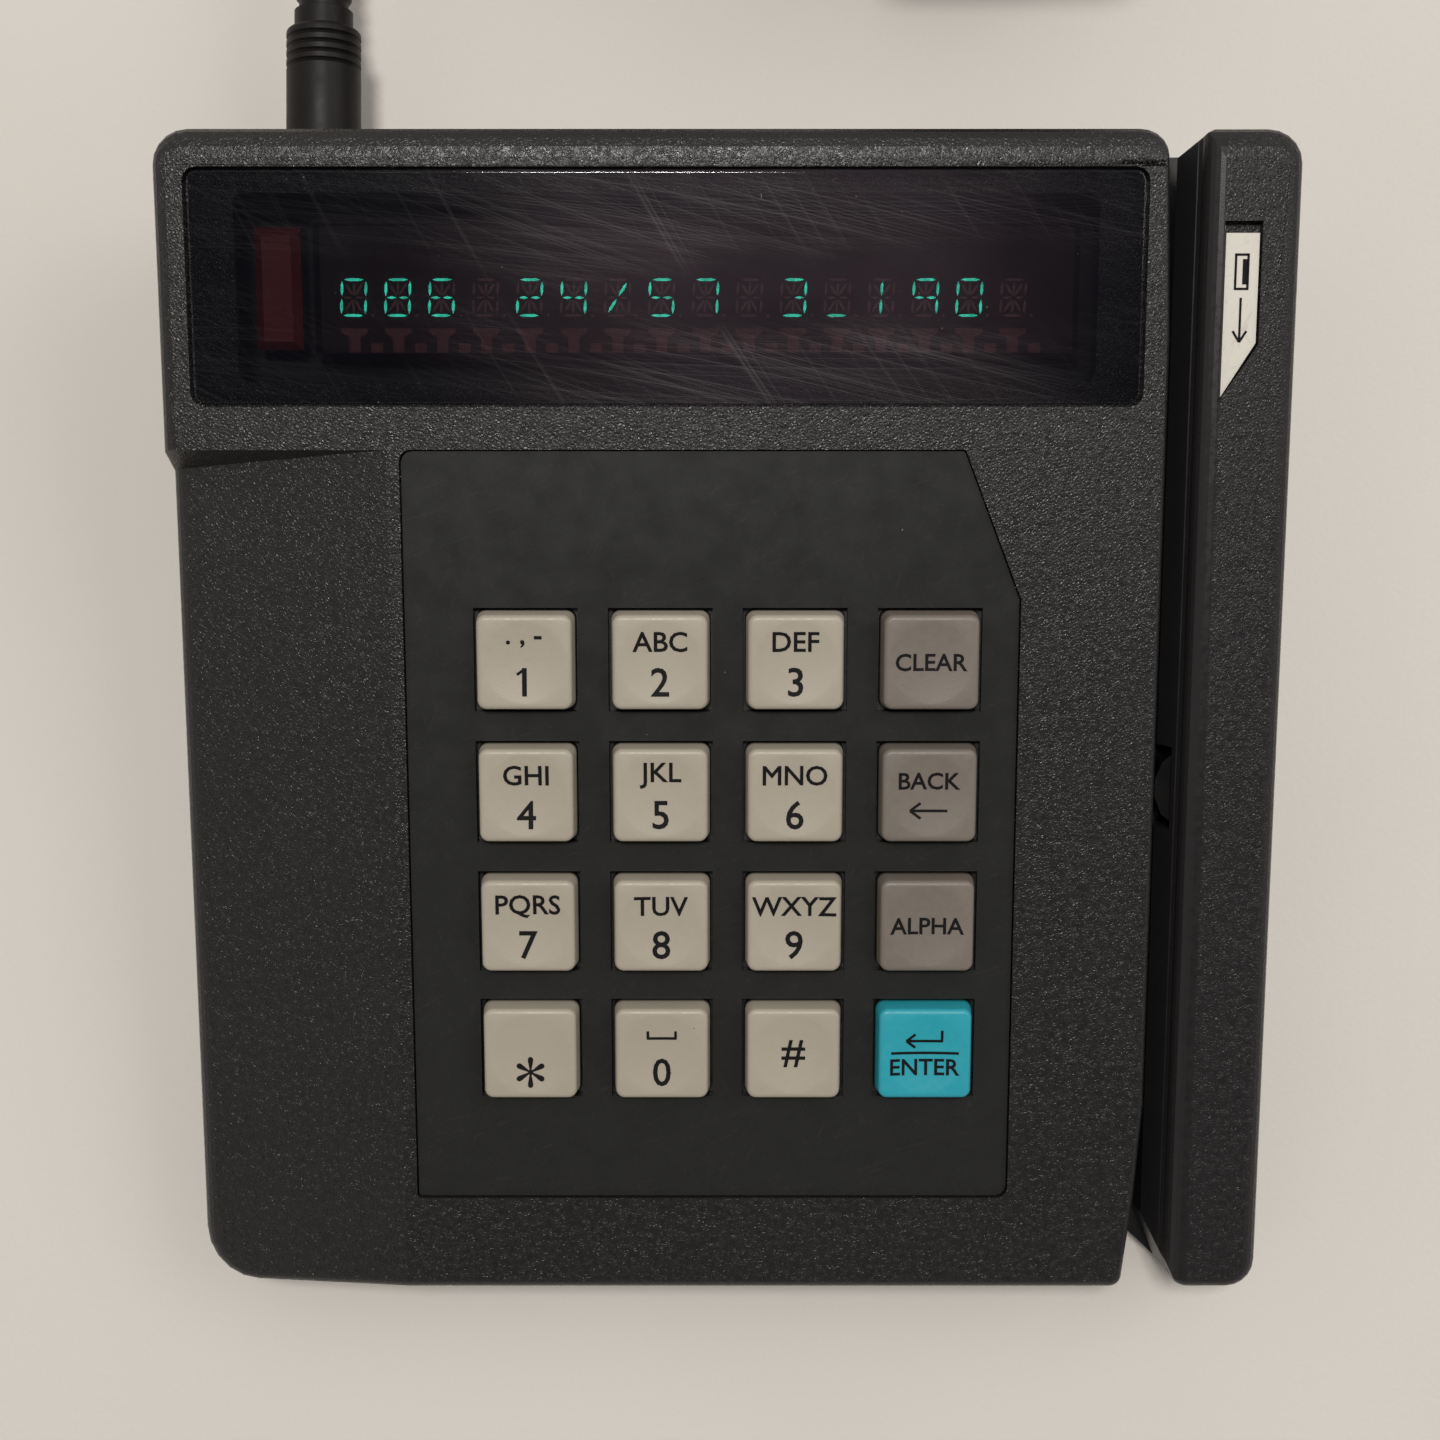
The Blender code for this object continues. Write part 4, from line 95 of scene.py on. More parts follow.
def srgb(red, green, blue):
    """A colour as it shows on screen, as the linear values that shaders take."""
    values = [value / 255 for value in (red, green, blue)]
    return tuple(v / 12.92 if v <= 0.04045 else ((v + 0.055) / 1.055) ** 2.4 for v in values)


def in_scene(name, data):
    """A new object in the scene, with the given data."""
    made = bpy.data.objects.new(name, data)
    bpy.context.scene.collection.objects.link(made)
    return made


# Camera, straight above the terminal
CAMERA_PLACE = (-0.0010, 0.0018, 0.3192)
CAMERA_LENS = 50
CAMERA_SENSOR = 36
CAMERA_NEAR = 0.01
camera = in_scene("camera", bpy.data.cameras.new("camera"))
camera.location = CAMERA_PLACE
camera.data.lens = CAMERA_LENS
camera.data.sensor_width = CAMERA_SENSOR
camera.data.clip_start = CAMERA_NEAR
bpy.context.scene.camera = camera
bpy.context.scene.view_settings.view_transform = "Standard"


# Power lead: from the plug's sleeve into its coil and on to the wall adapter
LAYER_TURNS = COIL_TURNS / COIL_LAYERS
CORD_DIAMETER = 2 * CORD_RADIUS
COIL_PITCH = CORD_DIAMETER + COIL_GAP
COIL_OUTER = COIL_RADIUS + LAYER_TURNS * COIL_PITCH / 2
COIL_INNER = COIL_RADIUS - LAYER_TURNS * COIL_PITCH / 2
COIL_CENTRE = Vector((-COIL_LEFT, COIL_BACK, CORD_RADIUS + TIE_THICKNESS + FIT))
SLEEVE_END = Vector((-PLUG_LEFT, HALF_LENGTH + FIT + PLUG_LENGTH, PLUG_AXIS_HEIGHT))
RELIEF_END = Vector((ADAPTER_RIGHT, ADAPTER_RELIEF_BACK, ADAPTER_RELIEF_HEIGHT))
LEAD_ROUTE_SHARES = ((0.03, 0.22, 0.16), (0.20, 0.48, 0.50), (0.50, 0.74, 0.85))
TAIL_ROUTE_SHARES = (
    (0.176, -0.013, 0.135), (0.357, -0.070, 0.520), (0.522, -0.171, 0.954),
    (0.670, -0.260, 1.193), (0.835, -0.095, 1.232), (0.956, 0.367, 1.162),
)
ROUTE_STEPS = 4
TUBE_STEPS = 4


def smooth(points, steps):
    """A smooth curve through a list of points, with even steps between each pair."""
    ends = [2 * points[0] - points[1], *points, 2 * points[-1] - points[-2]]
    curve = []
    for before, start, end, after in zip(ends, ends[1:], ends[2:], ends[3:]):
        for i in range(steps):
            t = i / steps
            bend = (3 * (start - end) + after - before) * t ** 3
            lean = (2 * before - 5 * start + 4 * end - after) * t ** 2
            curve.append(start + ((end - before) * t + lean + bend) / 2)
    return [*curve, points[-1]]


def coil_point(turn):
    """The coil's centreline: four layers that spiral in and out, climbing where the spiral turns back."""
    layer = turn / LAYER_TURNS
    folded = abs((layer + 1) % 2 - 1)
    radius = COIL_OUTER - (COIL_OUTER - COIL_INNER) * folded
    height = sum(min(max(2 * (turn - step * LAYER_TURNS) + 0.5, 0), 1) for step in range(1, COIL_LAYERS))
    angle = math.pi - 2 * math.pi * turn
    return COIL_CENTRE + Vector((radius * math.cos(angle), radius * math.sin(angle), height * COIL_PITCH))


def coil_line():
    count = math.ceil(COIL_TURNS * COIL_TURN_POINTS)
    line = [coil_point(COIL_TURNS * i / count) for i in range(count + 1)]
    first = line[0] - Vector((0, CORD_DIAMETER, 0))
    last = line[-1] + Vector((CORD_DIAMETER, 0, 0))
    return [first, *line, last]


def routed(start, start_run, shares, end_run, end):
    """A smooth line with a straight run at both ends."""
    low = start + start_run
    high = end - end_run
    middle = [low + Vector([share * way for share, way in zip(place, high - low)]) for place in shares]
    line = smooth([start, low, *middle, high, end], ROUTE_STEPS)
    return [start, *line[ROUTE_STEPS:-ROUTE_STEPS], end]


def lead_line():
    rearward = Vector((0, CORD_DIAMETER, 0))
    across = Vector((CORD_DIAMETER, 0, 0))
    coil = coil_line()
    lead = routed(SLEEVE_END, rearward, LEAD_ROUTE_SHARES, rearward, coil[0])
    tail = routed(coil[-1], across, TAIL_ROUTE_SHARES, -rearward, RELIEF_END)
    return [*lead, *coil[1:-1], *tail]


def tube(name, points, radius, material):
    """A round tube along a line of points, as a curve of one open spline."""
    curve = bpy.data.curves.new(name, "CURVE")
    curve.dimensions = "3D"
    curve.bevel_depth = radius
    curve.bevel_resolution = TUBE_STEPS
    curve.use_fill_caps = True
    spline = curve.splines.new("POLY")
    spline.points.add(len(points) - 1)
    for place, point in zip(spline.points, points):
        place.co = (*point, 1)
    spline.use_smooth = True
    curve.materials.append(material)
    return in_scene(name, curve)


# Procedural materials, each built up in layers on one Principled shader
MIDDLE = 0.5
GRAIN_WOBBLE = 2
PEBBLE_SLOPE = 0.35
PEBBLE_PATCHES = (0.3, 0.7)
PEBBLE_LOWEST = 0.4
CLOUD_DETAIL = 4
BEVEL_SAMPLES = 4
SHARP_EDGE = 0.25
SCRATCH_WARP = 1.2
SCRATCH_STRETCH = (1, 30, 1)
ARC_DETAIL = 3


class Finish:
    """A material whose colour, roughness and height come from layered textures, in the object's metres."""

    def __init__(self, name, colour, roughness, metallic=0):
        self.material = bpy.data.materials.new(name)
        self.material.use_nodes = True
        self.nodes = self.material.node_tree.nodes
        self.links = self.material.node_tree.links
        self.shader = self.nodes["Principled BSDF"]
        self.shader.inputs["Metallic"].default_value = metallic
        self.shader.inputs["Roughness"].default_value = roughness
        self.shader.inputs["Base Color"].default_value = (*colour, 1)
        self.place = self.nodes.new("ShaderNodeTexCoord").outputs["Object"]
        self.base = colour
        self.colour = None
        self.normal = None

    def node(self, kind, inputs=(), **settings):
        node = self.nodes.new(kind)
        for key, value in settings.items():
            setattr(node, key, value)
        for key, value in dict(inputs).items():
            if isinstance(value, bpy.types.NodeSocket):
                self.links.new(value, node.inputs[key])
            else:
                node.inputs[key].default_value = value
        return node

    def math(self, operation, first, second=0):
        return self.node("ShaderNodeMath", {0: first, 1: second}, operation=operation).outputs[0]

    def times(self, first, second):
        return self.math("MULTIPLY", first, second)

    def vector(self, operation, first, second):
        return self.node("ShaderNodeVectorMath", {0: first, 1: second}, operation=operation).outputs

    def along(self, way):
        """How far a point lies along a direction."""
        return self.vector("DOT_PRODUCT", self.place, way)["Value"]

    def away(self, centre):
        """How far a point lies from a centre."""
        return self.vector("DISTANCE", self.place, centre)["Value"]

    def ranged(self, value, low, high, first=0, last=1):
        where = {0: value, 1: low, 2: high, 3: first, 4: last}
        return self.node("ShaderNodeMapRange", where, interpolation_type="SMOOTHSTEP").outputs[0]

    def noise(self, size, detail=2, rough=0.5, warp=0, stretch=(1, 1, 1), turn=(0, 0, 0)):
        """Cloudy values from 0 to 1, with features of about the given size."""
        where = {"Vector": self.place, "Scale": stretch, "Rotation": turn}
        mapped = self.node("ShaderNodeMapping", where, vector_type="TEXTURE").outputs[0]
        where = {"Vector": mapped, "Scale": 1 / size, "Detail": detail, "Roughness": rough}
        return self.node("ShaderNodeTexNoise", {**where, "Distortion": warp}).outputs[0]

    def lines(self, level, share):
        """Thin marks where a cloudy value passes its middle."""
        return self.ranged(self.math("ABSOLUTE", self.math("SUBTRACT", level, MIDDLE)), share, 0)

    def arcs(self, centre, size, share):
        """Thin marks on circles round a far centre."""
        where = {"W": self.away(centre), "Scale": 1 / size, "Detail": ARC_DETAIL}
        level = self.node("ShaderNodeTexNoise", where, noise_dimensions="1D").outputs[0]
        return self.lines(level, share)

    def scratches(self, size, share, turn):
        """Thin long marks that run one way."""
        level = self.noise(size, warp=SCRATCH_WARP, stretch=SCRATCH_STRETCH, turn=(0, 0, turn))
        return self.lines(level, share)

    def wobbled(self, size, amount):
        """The object's own place, shifted a little this way and that."""
        spread = self.node("ShaderNodeTexNoise", {"Vector": self.place, "Scale": 1 / size}).outputs["Color"]
        about = self.vector("SUBTRACT", spread, (MIDDLE, MIDDLE, MIDDLE))[0]
        scaled = self.node("ShaderNodeVectorMath", {0: about, "Scale": amount}, operation="SCALE").outputs[0]
        return self.vector("ADD", self.place, scaled)[0]

    def pebbles(self, size):
        """Leathery grain: rounded pebbles of uneven shape with grooves between them."""
        wide = GRAIN_WOBBLE * size
        where = {"Vector": self.wobbled(wide, wide), "Scale": 1 / size}
        edge = self.node("ShaderNodeTexVoronoi", where, feature="DISTANCE_TO_EDGE").outputs["Distance"]
        tall = self.ranged(self.noise(wide), *PEBBLE_PATCHES, PEBBLE_LOWEST, 1)
        return self.times(self.ranged(edge, 0, PEBBLE_SLOPE), tall)

    def specks(self, size, share, width):
        """Small scattered dots, on a share of cells of the given size."""
        node = self.node("ShaderNodeTexVoronoi", {"Vector": self.place, "Scale": 1 / size})
        dot = self.ranged(node.outputs["Distance"], width, width / 2)
        chosen = self.node("ShaderNodeSeparateColor", {0: node.outputs["Color"]}).outputs[0]
        return self.times(dot, self.math("GREATER_THAN", chosen, 1 - share))

    def edges(self, radius):
        """High along worn edges of the shape."""
        soft = self.node("ShaderNodeBevel", {"Radius": radius}, samples=BEVEL_SAMPLES).outputs[0]
        flat = self.node("ShaderNodeNewGeometry").outputs["Normal"]
        return self.ranged(self.vector("DOT_PRODUCT", soft, flat)["Value"], 1, 1 - SHARP_EDGE)

    def mixed(self, mask, under, over):
        return self.node("ShaderNodeMix", {0: mask, 6: under, 7: over}, data_type="RGBA").outputs[2]

    def paint(self, mask, colour):
        """Lays a colour over what is there, where the mask is high."""
        self.colour = self.mixed(mask, self.colour or (*self.base, 1), (*colour, 1))
        self.links.new(self.colour, self.shader.inputs["Base Color"])

    def cloud(self, size, patches, amount, tint):
        """Lays a paler or darker tone of the colour over cloudy patches."""
        mask = self.ranged(self.noise(size, CLOUD_DETAIL), *patches, 0, amount)
        self.paint(mask, [tint * value for value in self.base])

    def gloss(self, value, low, high):
        self.links.new(self.ranged(value, 0, 1, low, high), self.shader.inputs["Roughness"])

    def bump(self, value, depth):
        node = self.node("ShaderNodeBump", {"Height": value, "Distance": depth, "Strength": 1})
        if self.normal:
            self.links.new(self.normal, node.inputs["Normal"])
        self.normal = node.outputs[0]
        self.links.new(self.normal, self.shader.inputs["Normal"])

    def set(self, **values):
        for key, value in values.items():
            self.shader.inputs[key.replace("_", " ")].default_value = value


# Moulded plastic: a pebbled grain, a cloudy tone, dust in the grain and paler worn edges
DUST = srgb(120, 112, 100)
MOULDED_CLOUD = (0.02, (0.35, 0.75), 0.3, 1.25)
MOULDED_DUST_RANGE = (0.55, 0.8)
MOULDED_DETAIL = 3
MOULDED_SPECKS = (0.004, 0.25, 0.04)
WEAR_SIZE = 0.003
WEAR_RANGE = (0.5, 0.7)
WEAR_SHARE = 2
WEAR_EDGE = 0.0006
MOULDED_GLOSS_SIZE = 0.001
MOULDED_GLOSS_SPREAD = (-0.12, 0.15)
FINE_GRAIN_SHARE = 1 / 3
FINE_DEPTH_SHARE = 1 / 4
RAIL_SMOOTH = 0.0679


def moulded(name, colour, roughness, grain, depth, dust, shine):
    made = Finish(name, colour, roughness)
    made.set(Specular_IOR_Level=shine)
    made.cloud(*MOULDED_CLOUD)
    made.paint(made.ranged(made.noise(grain, MOULDED_DETAIL), *MOULDED_DUST_RANGE, 0, dust), DUST)
    made.paint(made.specks(*MOULDED_SPECKS), DUST)
    wear = made.ranged(made.noise(WEAR_SIZE, MOULDED_DETAIL), *WEAR_RANGE, 0, WEAR_SHARE * dust)
    made.paint(made.times(made.edges(WEAR_EDGE), wear), DUST)
    low, high = MOULDED_GLOSS_SPREAD
    made.gloss(made.noise(MOULDED_GLOSS_SIZE, MOULDED_DETAIL), roughness + low, roughness + high)
    pebble = made.pebbles(grain)
    if name == "case_rail":
        pebble = made.times(pebble, made.ranged(made.along((1, 0, 0)), RAIL_SMOOTH, RAIL_SMOOTH + grain))
    made.bump(pebble, depth)
    made.bump(made.noise(grain * FINE_GRAIN_SHARE), depth * FINE_DEPTH_SHARE)
    return made


# Key plastic: a very fine grain, with painted shade, near-black, on what lies down in the gap round each key
KEY_ROUGHNESS = 0.42
KEY_GRAIN = 0.00035
KEY_GRAIN_DEPTH = 0.000006
KEY_SHINE = 0.5
GAP_SHADE = srgb(16, 14, 13)
GAP_SHADE_TOP = -0.0006
GAP_SHADE_FULL = -0.0018


def key_plastic(name, colour, dust):
    made = moulded(name, colour, KEY_ROUGHNESS, KEY_GRAIN, KEY_GRAIN_DEPTH, dust, KEY_SHINE)
    level = DECK_FRAME.translation.dot(UPRIGHT)
    # Painted shade: below the deck's surface the key is painted near-black, as the gap round it lies in
    # shade.
    made.paint(made.ranged(made.along(UPRIGHT), level + GAP_SHADE_TOP, level + GAP_SHADE_FULL), GAP_SHADE)
    return made


# Satin plastic and print: fine scratches and a little dust
SATIN_CLOUD = (0.03, (0.35, 0.75), 0.12, 1.2)
SATIN_SCRATCHES = ((0.0011, 0.4), (0.0016, 1.9), (0.0013, 2.7))
SATIN_SCRATCH_SHARE = 0.006
SATIN_SPECKS = (0.005, 0.3, 0.03)
SATIN_GLOSS_SIZE = 0.004
SATIN_GLOSS_DETAIL = 5
SATIN_GLOSS_SPREAD = (-0.08, 0.12)
SATIN_GRAIN = 0.00025
SATIN_DEPTH = 0.000006


def satin(name, colour, roughness, dust, shine):
    made = Finish(name, colour, roughness)
    made.set(Specular_IOR_Level=shine)
    made.cloud(*SATIN_CLOUD)
    for size, turn in SATIN_SCRATCHES:
        made.paint(made.times(made.scratches(size, SATIN_SCRATCH_SHARE, turn), dust), DUST)
    made.paint(made.specks(*SATIN_SPECKS), DUST)
    low, high = SATIN_GLOSS_SPREAD
    made.gloss(made.noise(SATIN_GLOSS_SIZE, SATIN_GLOSS_DETAIL), roughness + low, roughness + high)
    made.bump(made.noise(SATIN_GRAIN), SATIN_DEPTH)
    return made


# Brushed metal, and nickel blades that stand in a black plastic base
BRUSH_SIZE = 0.0004
BRUSH_DETAIL = 3
BRUSH_ROUGH = 0.6
BRUSH_STRETCH = (1, 20, 1)
BRUSH_DEPTH = 0.00001
METAL_CLOUD = (0.004, (0.4, 0.75), 0.5, 0.6)
METAL_GLOSS_SPREAD = (-0.1, 0.2)
BLADE_ROOT = 0.0598
BLADE_EDGE = 0.0001
BLADE_BASE = srgb(30, 29, 29)


def metal(name, colour, roughness):
    made = Finish(name, colour, roughness, 1)
    brushed = made.noise(BRUSH_SIZE, BRUSH_DETAIL, BRUSH_ROUGH, stretch=BRUSH_STRETCH)
    made.cloud(*METAL_CLOUD)
    low, high = METAL_GLOSS_SPREAD
    made.gloss(brushed, roughness + low, roughness + high)
    made.bump(brushed, BRUSH_DEPTH)
    if name == "blades":
        bare = made.ranged(made.along((1, 0, 0)), BLADE_ROOT, BLADE_ROOT + BLADE_EDGE)
        made.paint(made.math("SUBTRACT", 1, bare), BLADE_BASE)
        made.links.new(bare, made.shader.inputs["Metallic"])
    return made


# Smoked acrylic, with a pale painted reflection near the middle, and scratched in long arcs by wiping
WINDOW_COLOUR = srgb(10, 10, 15)
WINDOW_ROUGHNESS = 0.05
WINDOW_ALPHA = 0.5
WINDOW_TONE = srgb(14, 14, 21)
WINDOW_TONE_SIZE = 0.05
WINDOW_TONE_RANGE = (0.4, 0.7, 0, 0.5)
WINDOW_DETAIL = 3
# Centre, size, share and strength of the arcs
WIPES = (
    ((0.12, 0.46, 0.05), 0.0009, 0.020, 0.24), ((0.34, 0.28, 0.05), 0.0026, 0.008, 0.16),
    ((-0.08, -0.35, 0.05), 0.0014, 0.015, 0.20), ((0.02, 0.70, 0.05), 0.0006, 0.030, 0.16),
)
WIPE_PATCH_SIZE = 0.022
WIPE_PATCH_STRETCH = (2.5, 1, 1)
WIPE_PATCH_RANGE = (0.40, 0.62)
WIPE_LEAST = 0.15
WIPE_COLOUR = srgb(150, 144, 144)
# Painted reflection: a pale cloudy patch about this centre stands in for the room's light reflected in the
# window.
REFLECTION_MIDDLE = (0.006, 0.066, 0.046)
REFLECTION_REACH = (0.058, 0.008)
REFLECTION_SIZE = 0.02
REFLECTION_STRENGTH = 0.34
REFLECTION_COLOUR = srgb(108, 92, 100)
WINDOW_SPECKS = (0.003, 0.3, 0.05)
WINDOW_GLOSS_SIZE = 0.008
WINDOW_GLOSS = (0.03, 0.14)
WINDOW_WAVE_SIZE = 0.03
WINDOW_WAVE_DEPTH = 0.00004


def window():
    made = Finish("smoked_window", WINDOW_COLOUR, WINDOW_ROUGHNESS)
    made.set(Alpha=WINDOW_ALPHA)
    made.paint(made.ranged(made.noise(WINDOW_TONE_SIZE, WINDOW_DETAIL), *WINDOW_TONE_RANGE), WINDOW_TONE)
    # Painted reflection: paints a pale patch round the centre into the window's colour.
    near_reflection = made.ranged(made.away(REFLECTION_MIDDLE), *REFLECTION_REACH)
    painted_reflection = made.times(near_reflection, made.noise(REFLECTION_SIZE, WINDOW_DETAIL))
    made.paint(made.times(painted_reflection, REFLECTION_STRENGTH), REFLECTION_COLOUR)
    # The scratches are painted strongest round the painted reflection: real wiping marks, with a painted
    # highlight where they catch the light.
    for centre, size, share, amount in WIPES:
        patch = made.ranged(made.noise(WIPE_PATCH_SIZE, stretch=WIPE_PATCH_STRETCH), *WIPE_PATCH_RANGE)
        where = made.times(patch, made.math("ADD", near_reflection, WIPE_LEAST))
        made.paint(made.times(made.times(made.arcs(centre, size, share), where), amount), WIPE_COLOUR)
    made.paint(made.specks(*WINDOW_SPECKS), DUST)
    made.gloss(made.noise(WINDOW_GLOSS_SIZE, WINDOW_DETAIL), *WINDOW_GLOSS)
    made.bump(made.noise(WINDOW_WAVE_SIZE), WINDOW_WAVE_DEPTH)
    return made


# Phosphor that shines unevenly where lit, and a faint painted glow on the unlit strokes and the electrodes
GLOW_ROUGHNESS = 0.6
GLOW_DUST = 0.1
GLOW_SHINE = 0.5
GLOW_SIZE = 0.0015
GLOW_RANGE = (0.35, 0.7, 0, 0.7)
GLOW_DIM = 0.35


def glowing(name, colour, strength):
    made = satin(name, colour, GLOW_ROUGHNESS, GLOW_DUST, GLOW_SHINE)
    made.set(Emission_Strength=strength)
    spread = made.ranged(made.noise(GLOW_SIZE), *GLOW_RANGE)
    dim = made.mixed(spread, (*colour, 1), (*(value * GLOW_DIM for value in colour), 1))
    made.links.new(dim, made.shader.inputs["Emission Color"])
    return made


# Finishes by name, for moulded plastic with colour, roughness, grain size, grain depth, dust and shine
MOULDED = {
    "case": ((34, 32, 31), 0.29, 0.00046, 0.00005, 0.02, 0.33),
    "case_rail": ((34, 32, 32), 0.30, 0.00046, 0.00005, 0.02, 0.28),
    "mat_rubber": ((132, 130, 126), 0.7, 0.0008, 0.00001, 0.12, 0.5),
    "chip_black": ((30, 30, 32), 0.5, 0.0003, 0.000006, 0.12, 0.5),
    "rubber_black": ((30, 30, 30), 0.7, 0.0005, 0.00001, 0.12, 0.5),
    "adapter_black": ((30, 29, 29), 0.5, 0.0007, 0.00004, 0.03, 0.35),
}
# Colour and dust
KEY_PLASTICS = {
    "key_grey": ((160, 151, 136), 0.03),
    "key_taupe": ((112, 103, 94), 0.03),
    "key_cyan": ((38, 151, 165), 0.02),
}
# Colour, roughness, dust and shine
SATINS = {
    "case_smooth": ((29, 29, 31), 0.36, 0.04, 0.35),
    "bezel": ((38, 38, 37), 0.32, 0.05, 0.18),
    "tube_glass": ((30, 20, 24), 0.1, 0.1, 0.5),
    "tube_plate": ((84, 50, 62), 0.4, 0.1, 0.5),
    "inverter": ((158, 40, 46), 0.45, 0.1, 0.5),
    "board_green": ((22, 84, 50), 0.4, 0.1, 0.5),
    "board_dark": ((20, 26, 24), 0.4, 0.1, 0.5),
    "ribbon_grey": ((158, 156, 152), 0.5, 0.1, 0.5),
    "label_white": ((205, 200, 188), 0.5, 0.2, 0.5),
    "cord_black": ((22, 18, 18), 0.45, 0.05, 0.2),
    "ink": ((12, 12, 12), 0.6, 0.02, 0.15),
    "display_cell": ((96, 62, 70), 0.5, 0.1, 0.5),
}
# Colour and roughness; the reader head's face is darkened near to black, as painted shade of the deep slot
# it sits in
METALS = {
    "metal": ((196, 194, 190), 0.32), "brass": ((206, 178, 110), 0.32), "blades": ((176, 172, 162), 0.34),
    "aluminium": ((200, 200, 202), 0.38), "head_face": ((34, 33, 33), 0.55),
}
# Colour and strength; the unlit strokes and contacts give no light, so their faint strengths are a painted
# glow
GLOWS = {
    "display_unlit": ((190, 140, 146), 0.10), "display_contact": ((196, 124, 130), 0.05),
    "display_lit": ((64, 235, 200), 3.6),
}
TUBE_GLASS_ALPHA = 0.2
NODE_FINISHES = {
    # The reader head takes the darkened head_face: painted shade of the slot.
    "mag_head": "head_face", "rail_cover": "case_rail",
    "display_board": "board_dark", "adapter_blades": "blades",
}
TABLES = (
    (moulded, MOULDED), (key_plastic, KEY_PLASTICS), (satin, SATINS), (metal, METALS), (glowing, GLOWS),
)
FINISHES = {"smoked_window": window()}
for kind, table in TABLES:
    for name, (colour, *values) in table.items():
        FINISHES[name] = kind(name, srgb(*colour), *values)
FINISHES["tube_glass"].set(Alpha=TUBE_GLASS_ALPHA)
for name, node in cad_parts.items():
    for slot in node.material_slots:
        finish = NODE_FINISHES.get(name, slot.material.name.split(".")[0])
        slot.material = FINISHES[finish].material


# Meshes made of rings and plates
SHARP_ANGLE = math.radians(42)
CORNER_STEPS = 6
EDGE_STEPS = 6
RING_SIDES = 4 * (CORNER_STEPS + EDGE_STEPS)
RING_LEAD = 3
RIM_STEPS = 5


def new_piece(name, shape, finish, body, place=DECK_FRAME):
    """A mesh piece, made in the deck's frame unless another is given, that rides on a body."""
    mesh = bpy.data.meshes.new(name)
    bmesh.ops.recalc_face_normals(shape, faces=shape.faces)
    shape.to_mesh(mesh)
    shape.free()
    mesh.transform(place)
    mesh.materials.append(FINISHES[finish].material)
    piece = in_scene(name, mesh)
    if body:
        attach(piece, body)
    return piece


def crisp(piece):
    """Keeps the shading sharp along a piece's folds."""
    piece.data.set_sharp_from_angle(angle=SHARP_ANGLE)
    return piece


def rounded_square(side, radius):
    """Points of a rounded square, with as many on each quarter as a ring has."""
    reach = side / 2 - radius
    points = []
    for quarter in range(4):
        turn = Matrix.Rotation(math.pi / 2 * quarter, 2)
        for i in range(CORNER_STEPS + 1):
            angle = math.pi / 2 * i / CORNER_STEPS
            corner = Vector((math.cos(angle), math.sin(angle))) * radius + Vector((reach, reach))
            points.append(turn @ corner)
        for i in range(1, EDGE_STEPS):
            points.append(turn @ Vector((reach * (1 - 2 * i / EDGE_STEPS), side / 2)))
    return points


def circle(radius, count, lead=0):
    turns = [2 * math.pi * (i + lead) / count for i in range(count)]
    return [Vector((math.cos(turn), math.sin(turn))) * radius for turn in turns]


def ring(radius):
    """A circle whose points pair with those of a rounded square."""
    return circle(radius, RING_SIDES, RING_LEAD)


def rim(steps):
    """How far in and how far down a rounded rim lies, in shares of its radius, from its side to its top."""
    for i in range(steps + 1):
        turn = math.pi / 2 * i / steps
        yield 1 - math.cos(turn), 1 - math.sin(turn)


def loft(rings, place):
    """A closed body through rings, each given as its points and its height."""
    shape = bmesh.new()
    loops = []
    for points, height in rings:
        loops.append([shape.verts.new((point.x + place[0], point.y + place[1], height)) for point in points])
    for low, high in zip(loops, loops[1:]):
        for i, vertex in enumerate(low):
            after = (i + 1) % len(low)
            shape.faces.new((vertex, low[after], high[after], high[i]))
    shape.faces.new(loops[0])
    shape.faces.new(loops[-1])
    for face in shape.faces:
        face.smooth = True
    return shape


def sliced(shape, place, normal, clear=False):
    """Cuts a shape by a plane, clears what lies behind it if asked, and returns what lies on it."""
    parts = [*shape.verts, *shape.edges, *shape.faces]
    cut = bmesh.ops.bisect_plane(shape, geom=parts, plane_co=place, plane_no=normal, clear_inner=clear)
    return cut["geom_cut"]


# Plug of the power lead: a grooved barrel, a neck and a ribbed sleeve, turned in one
PLUG_PLACE = Matrix.Translation((-PLUG_LEFT, HALF_LENGTH + FIT, PLUG_AXIS_HEIGHT))
PLUG_FRAME = PLUG_PLACE @ Matrix.Rotation(-math.pi / 2, 4, "X")
PLUG_BORE = 0.00125
PLUG_BORE_DEPTH = 0.0080
TIP_RADIUS = 0.00275
TIP_LENGTH = 0.0122
BARREL_RADIUS = 0.0056
BARREL_EDGE = 0.0008
BARREL_LENGTH = 0.0235
NECK_RADIUS = 0.0044
NECK_LENGTH = 0.0030
GROOVES = 4
GROOVE_START = 0.0172
GROOVE_PITCH = 0.0014
GROOVE_WIDTH = 0.0007
GROOVE_DEPTH = 0.0004
SLEEVE_RIBS = 5
SLEEVE_RADII = (0.0042, 0.0034)
SLEEVE_LENGTH = 0.0160
RIB_DEPTH = 0.0005
RIB_SHARES = (
    (0.0, 0.0), (0.34, 0.0), (0.40, 0.35), (0.48, 0.85), (0.56, 1.0), (0.88, 1.0), (0.96, 0.8), (1.0, 0.4),
)
TURN_SIDES = 64
BEND_STEPS = 6


